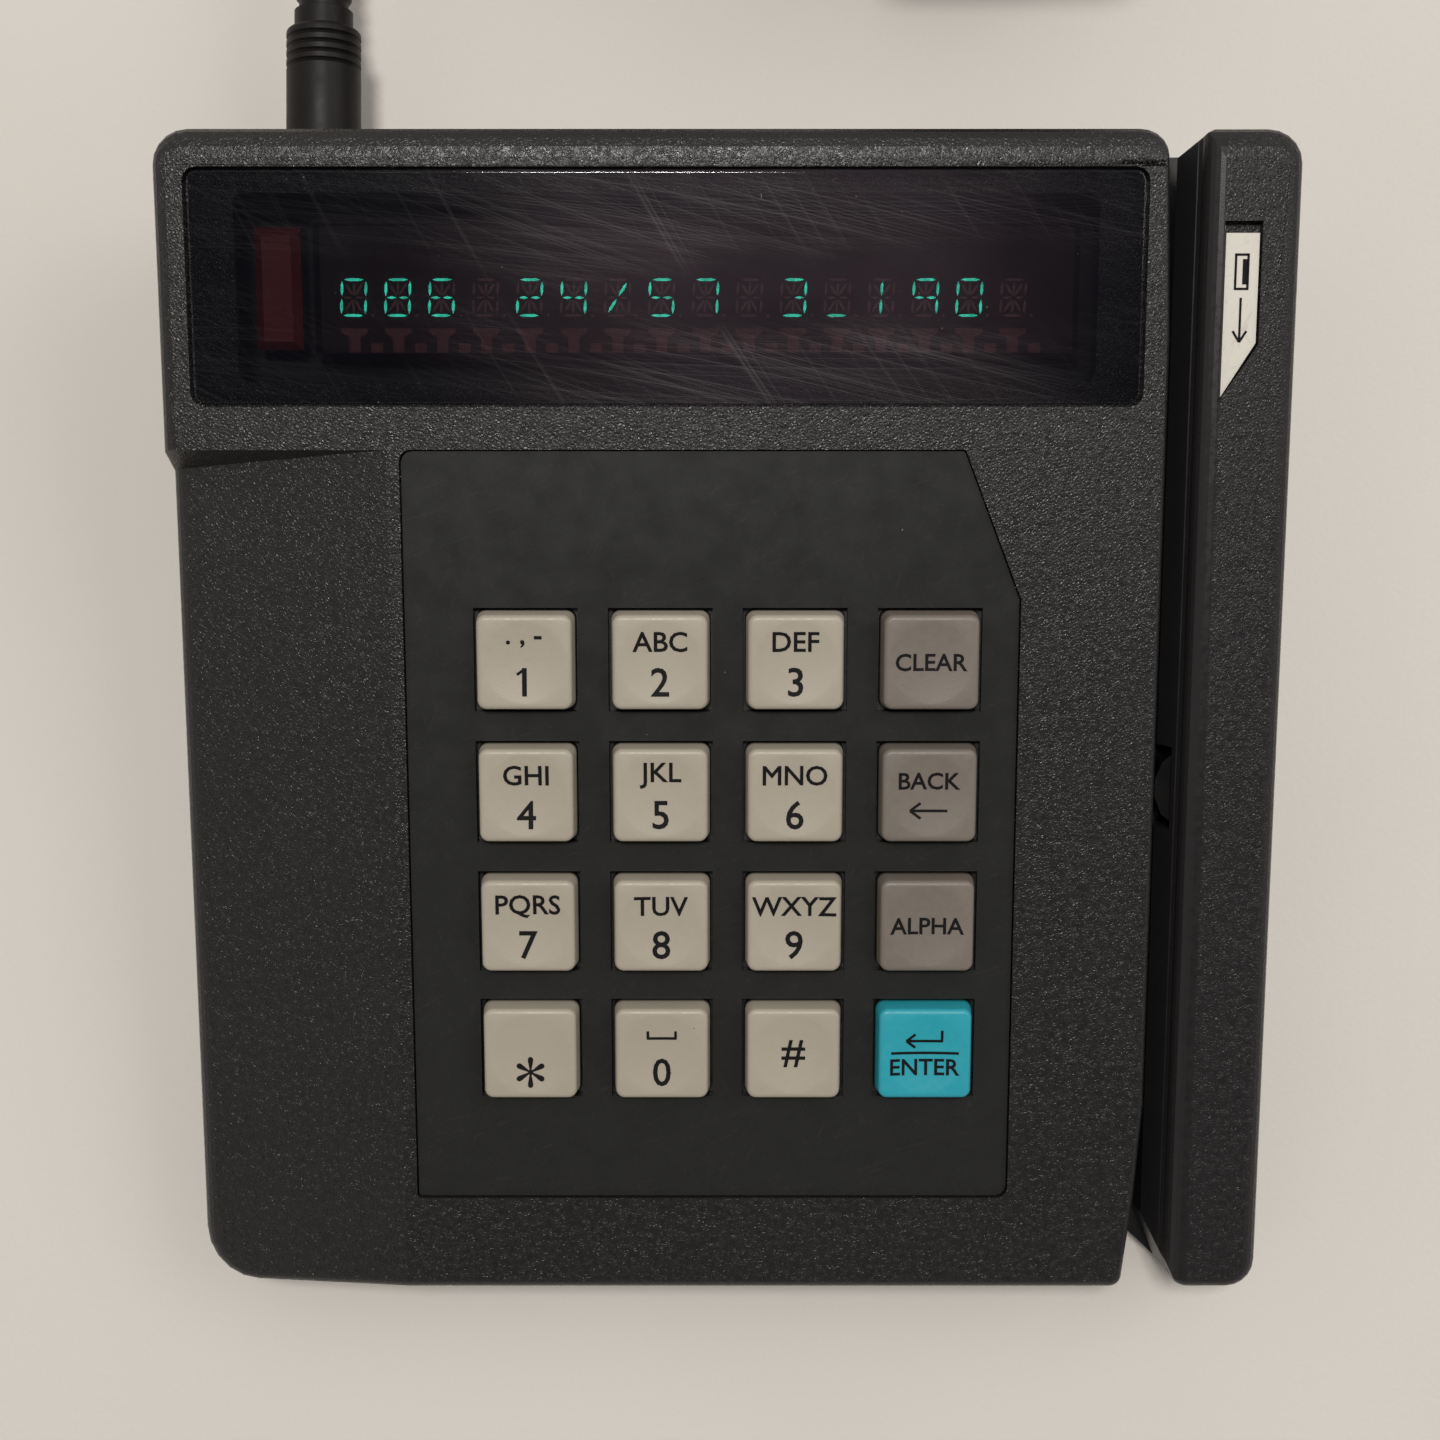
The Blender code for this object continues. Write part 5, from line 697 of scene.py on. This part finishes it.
def plug_profile():
    """Radius and height along the plug, from inside its tip to the end of its sleeve."""
    profile = [(PLUG_BORE, PLUG_BORE_DEPTH - TIP_LENGTH), (PLUG_BORE, -TIP_LENGTH)]
    profile += [(TIP_RADIUS, -TIP_LENGTH), (TIP_RADIUS, 0)]
    for over, down in rim(BEND_STEPS):
        profile.append((BARREL_RADIUS - BARREL_EDGE * down, BARREL_EDGE * over))
    for number in range(GROOVES):
        start = GROOVE_START + number * GROOVE_PITCH
        for i in range(BEND_STEPS + 1):
            share = i / BEND_STEPS
            depth = GROOVE_DEPTH * math.sin(math.pi * share)
            profile.append((BARREL_RADIUS - depth, start + GROOVE_WIDTH * share))
    for over, down in rim(BEND_STEPS):
        drop = (BARREL_RADIUS - NECK_RADIUS) * over
        profile.append((BARREL_RADIUS - drop, BARREL_LENGTH - BARREL_EDGE * down))
    end = BARREL_LENGTH + NECK_LENGTH
    profile.append((NECK_RADIUS, end - FIT))
    first, last = SLEEVE_RADII
    rib = SLEEVE_LENGTH / SLEEVE_RIBS
    for number in range(SLEEVE_RIBS):
        outer = first + (last - first) * number / (SLEEVE_RIBS - 1)
        start = end + number * rib
        for share, rise in RIB_SHARES:
            profile.append((outer - RIB_DEPTH * (1 - rise), start + rib * share))
    return profile


def make_plug():
    shape = loft([(circle(radius, TURN_SIDES), height) for radius, height in plug_profile()], (0, 0))
    plug = crisp(new_piece("power_plug_body", shape, "cord_black", "terminal", PLUG_FRAME))
    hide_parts("power_plug")


# Keys: a tapered cap with a rounded rim and a round dish, on its flange and stem
KEY_CORNER = 0.0013
KEY_RIM = 0.0007
DISH_RADIUS = 0.0059
DISH_DEPTH = 0.0004
DISH_EASE = 1.1
DISH_SHARES = (1.0, 0.97, 0.92, 0.84, 0.7, 0.5, 0.25, 0.05)
KEY_ROWS = (
    ("key_1", "key_2", "key_3", "key_clear"),
    ("key_4", "key_5", "key_6", "key_back"),
    ("key_7", "key_8", "key_9", "key_alpha"),
    ("key_star", "key_0", "key_hash", "key_enter"),
)
KEY_FINISH = {
    "key_clear": "key_taupe", "key_back": "key_taupe", "key_alpha": "key_taupe", "key_enter": "key_cyan",
}


def dish_height(distance):
    """Height of a key's top at a distance from its middle."""
    share = min(distance / DISH_RADIUS, 1)
    return KEY_TOP_HEIGHT - DISH_DEPTH * (1 - share ** 2) ** DISH_EASE


def key_shape(place):
    stem = rounded_square(KEY_STEM, KEY_CORNER / 2)
    flange = rounded_square(KEY_FLANGE, KEY_CORNER)
    rings = [
        (stem, KEY_STEM_BOTTOM), (stem, KEY_FLANGE_BOTTOM), (flange, KEY_FLANGE_BOTTOM),
        (flange, KEY_FLANGE_TOP), (rounded_square(KEY_BASE, KEY_CORNER), KEY_FLANGE_TOP),
    ]
    for over, down in rim(RIM_STEPS):
        inset = KEY_RIM * over
        outline = rounded_square(KEY_TOP - 2 * inset, KEY_CORNER - inset)
        rings.append((outline, KEY_TOP_HEIGHT - KEY_RIM * down))
    rings += [(ring(DISH_RADIUS * share), dish_height(DISH_RADIUS * share)) for share in DISH_SHARES]
    return loft(rings, place)


def key_places():
    """Each key's name and its middle across and along the deck."""
    across, along = KEYPAD_MIDDLE
    half = (len(KEY_ROWS) - 1) / 2
    for row, names in enumerate(KEY_ROWS):
        for column, name in enumerate(names):
            yield name, (across + (column - half) * KEY_PITCH, along + (half - row) * KEY_PITCH)


def make_keys():
    for name, place in key_places():
        finish = KEY_FINISH.get(name, "key_grey")
        cap = crisp(new_piece(name + "_cap", key_shape(place), finish, name))
        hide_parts(name)


# Rubber mat under the keys: a sheet, and a dome under each key
MAT_TOP = -0.0086
MAT_BOTTOM = -0.0096
MAT_SIDE = 0.07455
MAT_CORNER = 0.0006
DOME_TOP = -0.0053
DOME_RADII = (0.0042, 0.0026)
DOME_STEPS = 6


def make_mat():
    outline = rounded_square(MAT_SIDE, MAT_CORNER)
    sheet = loft([(outline, MAT_BOTTOM), (outline, MAT_TOP)], KEYPAD_MIDDLE)
    sheet = crisp(new_piece("key_mat_sheet", sheet, "mat_rubber", "terminal"))
    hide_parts("key_mat")
    wide, narrow = DOME_RADII
    for name, place in key_places():
        rings = []
        for i in range(DOME_STEPS + 1):
            share = i / DOME_STEPS
            radius = narrow + (wide - narrow) * (1 - share ** 2) ** 2
            rings.append((ring(radius), MAT_TOP + (DOME_TOP - MAT_TOP) * share))
        dome = crisp(new_piece(name + "_dome", loft(rings, place), "mat_rubber", "terminal"))
        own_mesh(dome)


# Leaf spring behind the reader head: two halves that reach from their posts to the head, each cut across
# into even strips
LEAF_HOLD = 0.0113
LEAF_CUTS = 12


def make_leaf():
    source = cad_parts["head_spring"]
    along = DECK_FRAME.to_3x3() @ Vector((0, 1, 0))
    corners = [source.matrix_world @ Vector(corner) for corner in source.bound_box]
    middle = sum(corners, Vector()) / len(corners)
    for side, name in ((-1, "head_leaf_front"), (1, "head_leaf_rear")):
        way = along * side
        shape = bmesh.new()
        shape.from_mesh(source.data)
        shape.transform(source.matrix_world)
        edges = [part for part in sliced(shape, middle, way, True) if isinstance(part, bmesh.types.BMEdge)]
        bmesh.ops.contextual_create(shape, geom=edges)
        for i in range(1, LEAF_CUTS):
            sliced(shape, middle + way * LEAF_HOLD * i / LEAF_CUTS, along)
        leaf = new_piece(name, shape, "metal", None, Matrix.Identity(4))
        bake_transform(leaf)
        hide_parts("head_spring")


# Printed marks: words, figures and plain signs, each cut fine enough to follow what it lies on
INK_THICKNESS = 0.00004
INK_RISE = 0.00002
INK_SPREAD = 0.00005
LETTER_STEPS = 3
CUT_STEP = 0.0007
SIGN_UNIT = 0.0010
SIGN_STROKE = 0.00038


def text_shape(text, size, middle):
    """Lettering as thin solid figures, centred on a place."""
    curve = bpy.data.curves.new("lettering", "FONT")
    curve.body = text
    curve.size = size
    curve.align_x = "CENTER"
    curve.extrude = INK_THICKNESS / 2
    curve.bevel_depth = INK_SPREAD
    curve.bevel_resolution = 0
    curve.resolution_u = LETTER_STEPS
    holder = in_scene("lettering", curve)
    shape = bmesh.new()
    shape.from_mesh(holder.evaluated_get(bpy.context.evaluated_depsgraph_get()).to_mesh())
    for vertex in shape.verts:
        vertex.co.z = math.copysign(INK_THICKNESS, vertex.co.z)
    bpy.data.objects.remove(holder)
    bpy.data.curves.remove(curve)
    across = [vertex.co.x for vertex in shape.verts]
    along = [vertex.co.y for vertex in shape.verts]
    found = ((min(across) + max(across)) / 2, (min(along) + max(along)) / 2)
    bmesh.ops.translate(shape, verts=shape.verts, vec=(middle[0] - found[0], middle[1] - found[1], 0))
    return shape


def diced(shape, middle):
    """Cuts a flat shape by a grid as wide as a key's top, so that it can follow the dish."""
    count = math.ceil(KEY_TOP / 2 / CUT_STEP)
    for axis in range(2):
        normal = Vector((1 - axis, axis, 0))
        for i in range(-count, count + 1):
            sliced(shape, Vector((*middle, 0)) + normal * i * CUT_STEP, normal)
    return shape


def merged(shapes, height=0):
    """One shape of many, lifted by a height."""
    whole = bmesh.new()
    for shape in shapes:
        holder = bpy.data.meshes.new("holder")
        shape.to_mesh(holder)
        shape.free()
        whole.from_mesh(holder)
        bpy.data.meshes.remove(holder)
    bmesh.ops.translate(whole, verts=whole.verts, vec=(0, 0, height))
    return whole


def about(points, place, reach=(SIGN_UNIT, SIGN_UNIT)):
    """Points given in shares of a reach, laid out about a place."""
    return [(place[0] + reach[0] * x, place[1] + reach[1] * y) for x, y in points]


def plate(points):
    """A thin flat plate with the given outline."""
    shape = bmesh.new()
    under = [shape.verts.new((*point, -INK_THICKNESS)) for point in points]
    over = [shape.verts.new((*point, INK_THICKNESS)) for point in points]
    shape.faces.new(under[::-1])
    shape.faces.new(over)
    for i, vertex in enumerate(under):
        after = (i + 1) % len(under)
        shape.faces.new((vertex, under[after], over[after], over[i]))
    return shape


def bar(start, end, width, point=0):
    """A straight flat bar between two points, with ends that may come to a point."""
    start = Vector(start)
    end = Vector(end)
    run = (end - start).normalized()
    side = Vector((-run.y, run.x)) * width / 2
    if not point:
        return plate([start + side, start - side, end - side, end + side])
    tip = run * point
    return plate([start, start + tip - side, end - tip - side, end, end - tip + side, start + tip + side])


def sign(lines, place, width):
    """Straight strokes drawn about a place."""
    return [bar(*about(line, place), width) for line in lines]


# Legends of the keys: words with their size and how far behind the key's middle they lie, and signs
LETTERS = (0.0040, 0.0029)
DIGIT = (0.0057, -0.0028)
STAR = (0.0100, -0.0028)
HASH = (0.0057, 0.0)
WORD = (0.0034, 0.0)
REAR_WORD = (0.0034, 0.0021)
FRONT_WORD = (0.0034, -0.0020)
LEGENDS = {
    "key_1": ((". , -", *LETTERS), ("1", *DIGIT)),
    "key_2": (("ABC", *LETTERS), ("2", *DIGIT)),
    "key_3": (("DEF", *LETTERS), ("3", *DIGIT)),
    "key_4": (("GHI", *LETTERS), ("4", *DIGIT)),
    "key_5": (("JKL", *LETTERS), ("5", *DIGIT)),
    "key_6": (("MNO", *LETTERS), ("6", *DIGIT)),
    "key_7": (("PQRS", *LETTERS), ("7", *DIGIT)),
    "key_8": (("TUV", *LETTERS), ("8", *DIGIT)),
    "key_9": (("WXYZ", *LETTERS), ("9", *DIGIT)),
    "key_star": (("*", *STAR),),
    "key_0": (("0", *DIGIT),),
    "key_hash": (("#", *HASH),),
    "key_clear": (("CLEAR", *WORD),),
    "key_back": (("BACK", *REAR_WORD),),
    "key_alpha": (("ALPHA", *WORD),),
    "key_enter": (("ENTER", *FRONT_WORD),),
}
SIGNS = {
    "key_1": (((-1.05, -1.75), (0.05, -0.95)),),
    "key_back": (((-2.6, -2.2), (2.6, -2.2)), ((-2.7, -2.2), (-1.2, -1.1)), ((-2.7, -2.2), (-1.2, -3.3))),
    "key_0": (((-2.0, 3.4), (-2.0, 2.3)), ((-2.15, 2.3), (2.15, 2.3)), ((2.0, 2.3), (2.0, 3.4))),
    "key_enter": (
        ((-4.9, 0.1), (4.9, 0.1)), ((-2.6, 1.9), (2.6, 1.9)), ((2.45, 1.9), (2.45, 3.5)),
        ((-2.7, 1.9), (-1.4, 2.9)), ((-2.7, 1.9), (-1.4, 0.9)),
    ),
}


def make_legends():
    for name, place in key_places():
        shapes = []
        for text, size, behind in LEGENDS[name]:
            shapes.append(text_shape(text, size, (place[0], place[1] + behind)))
        shapes += sign(SIGNS.get(name, ()), place, SIGN_STROKE)
        shape = diced(merged(shapes), place)
        for vertex in shape.verts:
            distance = math.hypot(vertex.co.x - place[0], vertex.co.y - place[1])
            vertex.co.z += dish_height(distance) + INK_RISE
        new_piece(name + "_legend", shape, "ink", name)


# Window pane with a rounded rim
PANE_LEFT = 0.0740
PANE_RIGHT = 0.0573
PANE_FRONT = 0.1299
PANE_REAR = 0.1616
PANE_RADIUS = 0.0016
PANE_TOP = -0.0001
PANE_BOTTOM = -0.0018
PANE_RIM = 0.0005
PANE_FLAT_SHARE = 1.2


def pane_outline(inset):
    """Points of the pane's rounded outline, moved in by an inset."""
    left = PANE_RADIUS - PANE_LEFT
    right = PANE_RIGHT - PANE_RADIUS
    front = PANE_FRONT + PANE_RADIUS
    rear = PANE_REAR - PANE_RADIUS
    reach = PANE_RADIUS - inset
    points = []
    for quarter, middle in enumerate(((right, rear), (left, rear), (left, front), (right, front))):
        for i in range(CORNER_STEPS + 1):
            turn = math.pi / 2 * (quarter + i / CORNER_STEPS)
            points.append(Vector(middle) + reach * Vector((math.cos(turn), math.sin(turn))))
    return points


def make_pane():
    rings = [(pane_outline(0), PANE_BOTTOM)]
    for over, down in rim(RIM_STEPS):
        rings.append((pane_outline(PANE_RIM * over), PANE_TOP - PANE_RIM * down))
    rings.append((pane_outline(PANE_FLAT_SHARE * PANE_RIM), PANE_TOP))
    pane = crisp(new_piece("window_pane", loft(rings, (0, 0)), "smoked_window", "terminal"))
    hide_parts("display_lens")


# Display: glowing figures of straight strokes, dim strokes that are off, and contacts at the tube's front
FIGURES_SHOWN = "086 24/57 3_190 "
FIGURE_STROKES = {
    "0": "abcdef", "1": "jm", "2": "abdegh", "3": "abcdh", "4": "bcfgh", "5": "acdfgh", "6": "acdefgh",
    "7": "abc", "8": "abcdefgh", "9": "abcfgh", "/": "kl", "_": "d", " ": "",
}
STROKE_ENDS = {
    "a": ((-1, 1), (1, 1)), "b": ((1, 1), (1, 0)), "c": ((1, 0), (1, -1)), "d": ((-1, -1), (1, -1)),
    "e": ((-1, 0), (-1, -1)), "f": ((-1, 1), (-1, 0)), "g": ((-1, 0), (0, 0)), "h": ((0, 0), (1, 0)),
    "i": ((-0.8, 0.9), (0, 0)), "j": ((0, 1), (0, 0)), "k": ((0.8, 0.9), (0, 0)),
    "l": ((-0.8, -0.9), (0, 0)), "m": ((0, 0), (0, -1)), "n": ((0.8, -0.9), (0, 0)),
}
FIGURE_REACH = (0.0017, 0.0025)
FIGURE_PITCH = 0.00626
FIGURE_MIDDLE = (-0.0062, 0.1449)
FIGURE_SLANT = 0.05
STROKE_WIDTH = 0.00038
STROKE_POINT = 0.0006
STROKE_GAP_SHARE = 0.09
STROKE_RISE = 0.00012
STROKE_TOP = PLATE_TOP + STROKE_RISE
CELL_REACH = (0.0024, 0.0035)
CELL_OUTLINE = ((-1, -1), (1, -1), (1, 1), (-1, 1))
CONTACT_REAR = 0.1406
CONTACT_OUTLINE = (
    (-1.9, 0), (1.9, 0), (1.9, -0.6), (0.8, -1.3), (0.8, -3.4), (-0.8, -3.4), (-0.8, -1.3), (-1.9, -0.6),
)
PAD_OUTLINE = ((-0.85, -2.1), (0.85, -2.1), (0.85, -3.4), (-0.85, -3.4))


def figure_places():
    across, along = FIGURE_MIDDLE
    middle = (len(FIGURES_SHOWN) - 1) / 2
    return [(across + (i - middle) * FIGURE_PITCH, along) for i in range(len(FIGURES_SHOWN))]


def stroke(name, place):
    """One stroke of a figure, leaning a little, short of its corners."""
    across, along = FIGURE_REACH
    start, end = [Vector(end) for end in STROKE_ENDS[name]]
    gap = (end - start) * STROKE_GAP_SHARE
    laid = []
    for point in (start + gap, end - gap):
        lean = FIGURE_SLANT * along * point.y
        laid.append((place[0] + across * point.x + lean, place[1] + along * point.y))
    return bar(*laid, STROKE_WIDTH, STROKE_POINT)


def make_display():
    lit, unlit, cells, contacts, pads = [], [], [], [], []
    for figure, place in zip(FIGURES_SHOWN, figure_places()):
        for name in STROKE_ENDS:
            (lit if name in FIGURE_STROKES[figure] else unlit).append(stroke(name, place))
        dot = (place[0] + FIGURE_REACH[0] + 2 * STROKE_WIDTH, place[1] - FIGURE_REACH[1])
        unlit.append(bar(dot, (dot[0] + STROKE_WIDTH, dot[1]), STROKE_WIDTH))
        cells.append(plate(about(CELL_OUTLINE, place, CELL_REACH)))
        contacts.append(plate(about(CONTACT_OUTLINE, (place[0], CONTACT_REAR))))
        pads.append(plate(about(PAD_OUTLINE, (place[0] + FIGURE_PITCH / 2, CONTACT_REAR))))
    layers = (
        ("display_cells", cells, PLATE_TOP + INK_THICKNESS, "display_cell"),
        ("display_strokes_lit", lit, STROKE_TOP + INK_THICKNESS, "display_lit"),
        # The unlit strokes and the contacts carry a faint painted glow.
        ("display_strokes_unlit", unlit, STROKE_TOP, "display_unlit"),
        ("display_contacts", contacts + pads, STROKE_TOP, "display_contact"),
    )
    for name, shapes, height, finish in layers:
        new_piece(name, merged(shapes, height), finish, "terminal")


# Label in the rail's recess: a card with its stripe, and which way to draw it
LABEL_STROKE = 0.00032
LABEL_SIGN = (
    ((-0.85, 4.6), (0.85, 4.6)), ((-0.85, 0.0), (0.85, 0.0)),
    ((-0.85, 4.75), (-0.85, -0.15)), ((0.85, 4.75), (0.85, -0.15)),
    ((0, -1.2), (0, -7.0)), ((-0.95, -5.7), (0, -7.2)), ((0.95, -5.7), (0, -7.2)),
)
LABEL_BAND = ((0.45, 4.0), (0.45, 0.6))
LABEL_BAND_WIDTH = 0.0007


def make_label():
    shapes = sign(LABEL_SIGN, LABEL_MIDDLE, LABEL_STROKE)
    shapes += sign([LABEL_BAND], LABEL_MIDDLE, LABEL_BAND_WIDTH)
    new_piece("label_sign", merged(shapes, LABEL_TOP + INK_RISE), "ink", "terminal")


make_plug()
power_lead = tube("power_lead", lead_line(), CORD_RADIUS, FINISHES["cord_black"].material)
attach(power_lead, "terminal")
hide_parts("power_cord", "power_cord_coil", "power_cord_tail")
make_keys()
make_mat()
make_leaf()
make_legends()
make_pane()
make_display()
make_label()


# Floor: pale paper with a faint cloudy tone
FLOOR_SIZE = 3.0
FLOOR_CUTS = 8
PAPER_COLOUR = srgb(213, 207, 199)
PAPER_ROUGHNESS = 0.9
PAPER_TONE = srgb(206, 200, 191)
PAPER_TONE_SIZE = 0.12
PAPER_TONE_RANGE = (0.3, 0.7, 0, 0.5)
PAPER_GRAIN = 0.0012
PAPER_DETAIL = 3
PAPER_DEPTH = 0.00008
floor_mesh = bpy.data.meshes.new("floor")
shape = bmesh.new()
bmesh.ops.create_grid(shape, x_segments=FLOOR_CUTS, y_segments=FLOOR_CUTS, size=FLOOR_SIZE / 2)
shape.to_mesh(floor_mesh)
shape.free()
floor = in_scene("floor", floor_mesh)
paper = Finish("floor", PAPER_COLOUR, PAPER_ROUGHNESS)
paper.paint(paper.ranged(paper.noise(PAPER_TONE_SIZE, PAPER_DETAIL), *PAPER_TONE_RANGE), PAPER_TONE)
paper.bump(paper.noise(PAPER_GRAIN, PAPER_DETAIL), PAPER_DEPTH)
floor_mesh.materials.append(paper.material)


# Background: pale, and dark overhead and a little to the front, like a room above a table
WORLD_STRENGTH = 0.5
WORLD_COLOUR = (1.0, 0.985, 0.965, 1)
OVERHEAD_COLOUR = (0.06, 0.06, 0.07, 1)
OVERHEAD = Vector((0, -0.42, 0.91))
OVERHEAD_EDGES = (0.77, 0.89)
world = bpy.data.worlds.new("studio")
world.use_nodes = True
bpy.context.scene.world = world
tree = world.node_tree
level = tree.nodes.new("ShaderNodeVectorMath")
level.operation = "DOT_PRODUCT"
level.inputs[1].default_value = OVERHEAD.normalized()
tree.links.new(tree.nodes.new("ShaderNodeTexCoord").outputs["Generated"], level.inputs[0])
edge = tree.nodes.new("ShaderNodeMapRange")
edge.interpolation_type = "SMOOTHSTEP"
edge.inputs["From Min"].default_value, edge.inputs["From Max"].default_value = OVERHEAD_EDGES
tree.links.new(level.outputs["Value"], edge.inputs["Value"])
mix = tree.nodes.new("ShaderNodeMix")
mix.data_type = "RGBA"
mix.inputs[6].default_value = WORLD_COLOUR
mix.inputs[7].default_value = OVERHEAD_COLOUR
tree.links.new(edge.outputs[0], mix.inputs[0])
background = tree.nodes["Background"]
background.inputs["Strength"].default_value = WORLD_STRENGTH
tree.links.new(mix.outputs[2], background.inputs["Color"])


# Soft square lamps that face the terminal: place, size, power and colour
LAMPS = {
    "key_light": ((-0.06, 0.24, 1.15), 0.18, 8.0, (1.0, 0.98, 0.95)),
    "fill_light": ((0.70, 0.30, 0.80), 0.6, 2.0, (1.0, 1.0, 1.0)),
}
for name, (place, size, power, colour) in LAMPS.items():
    light = bpy.data.lights.new(name, "AREA")
    light.size = size
    light.energy = power
    light.color = colour
    lamp = in_scene(name, light)
    lamp.location = place
    lamp.rotation_euler = (-lamp.location).to_track_quat("-Z", "Y").to_euler()
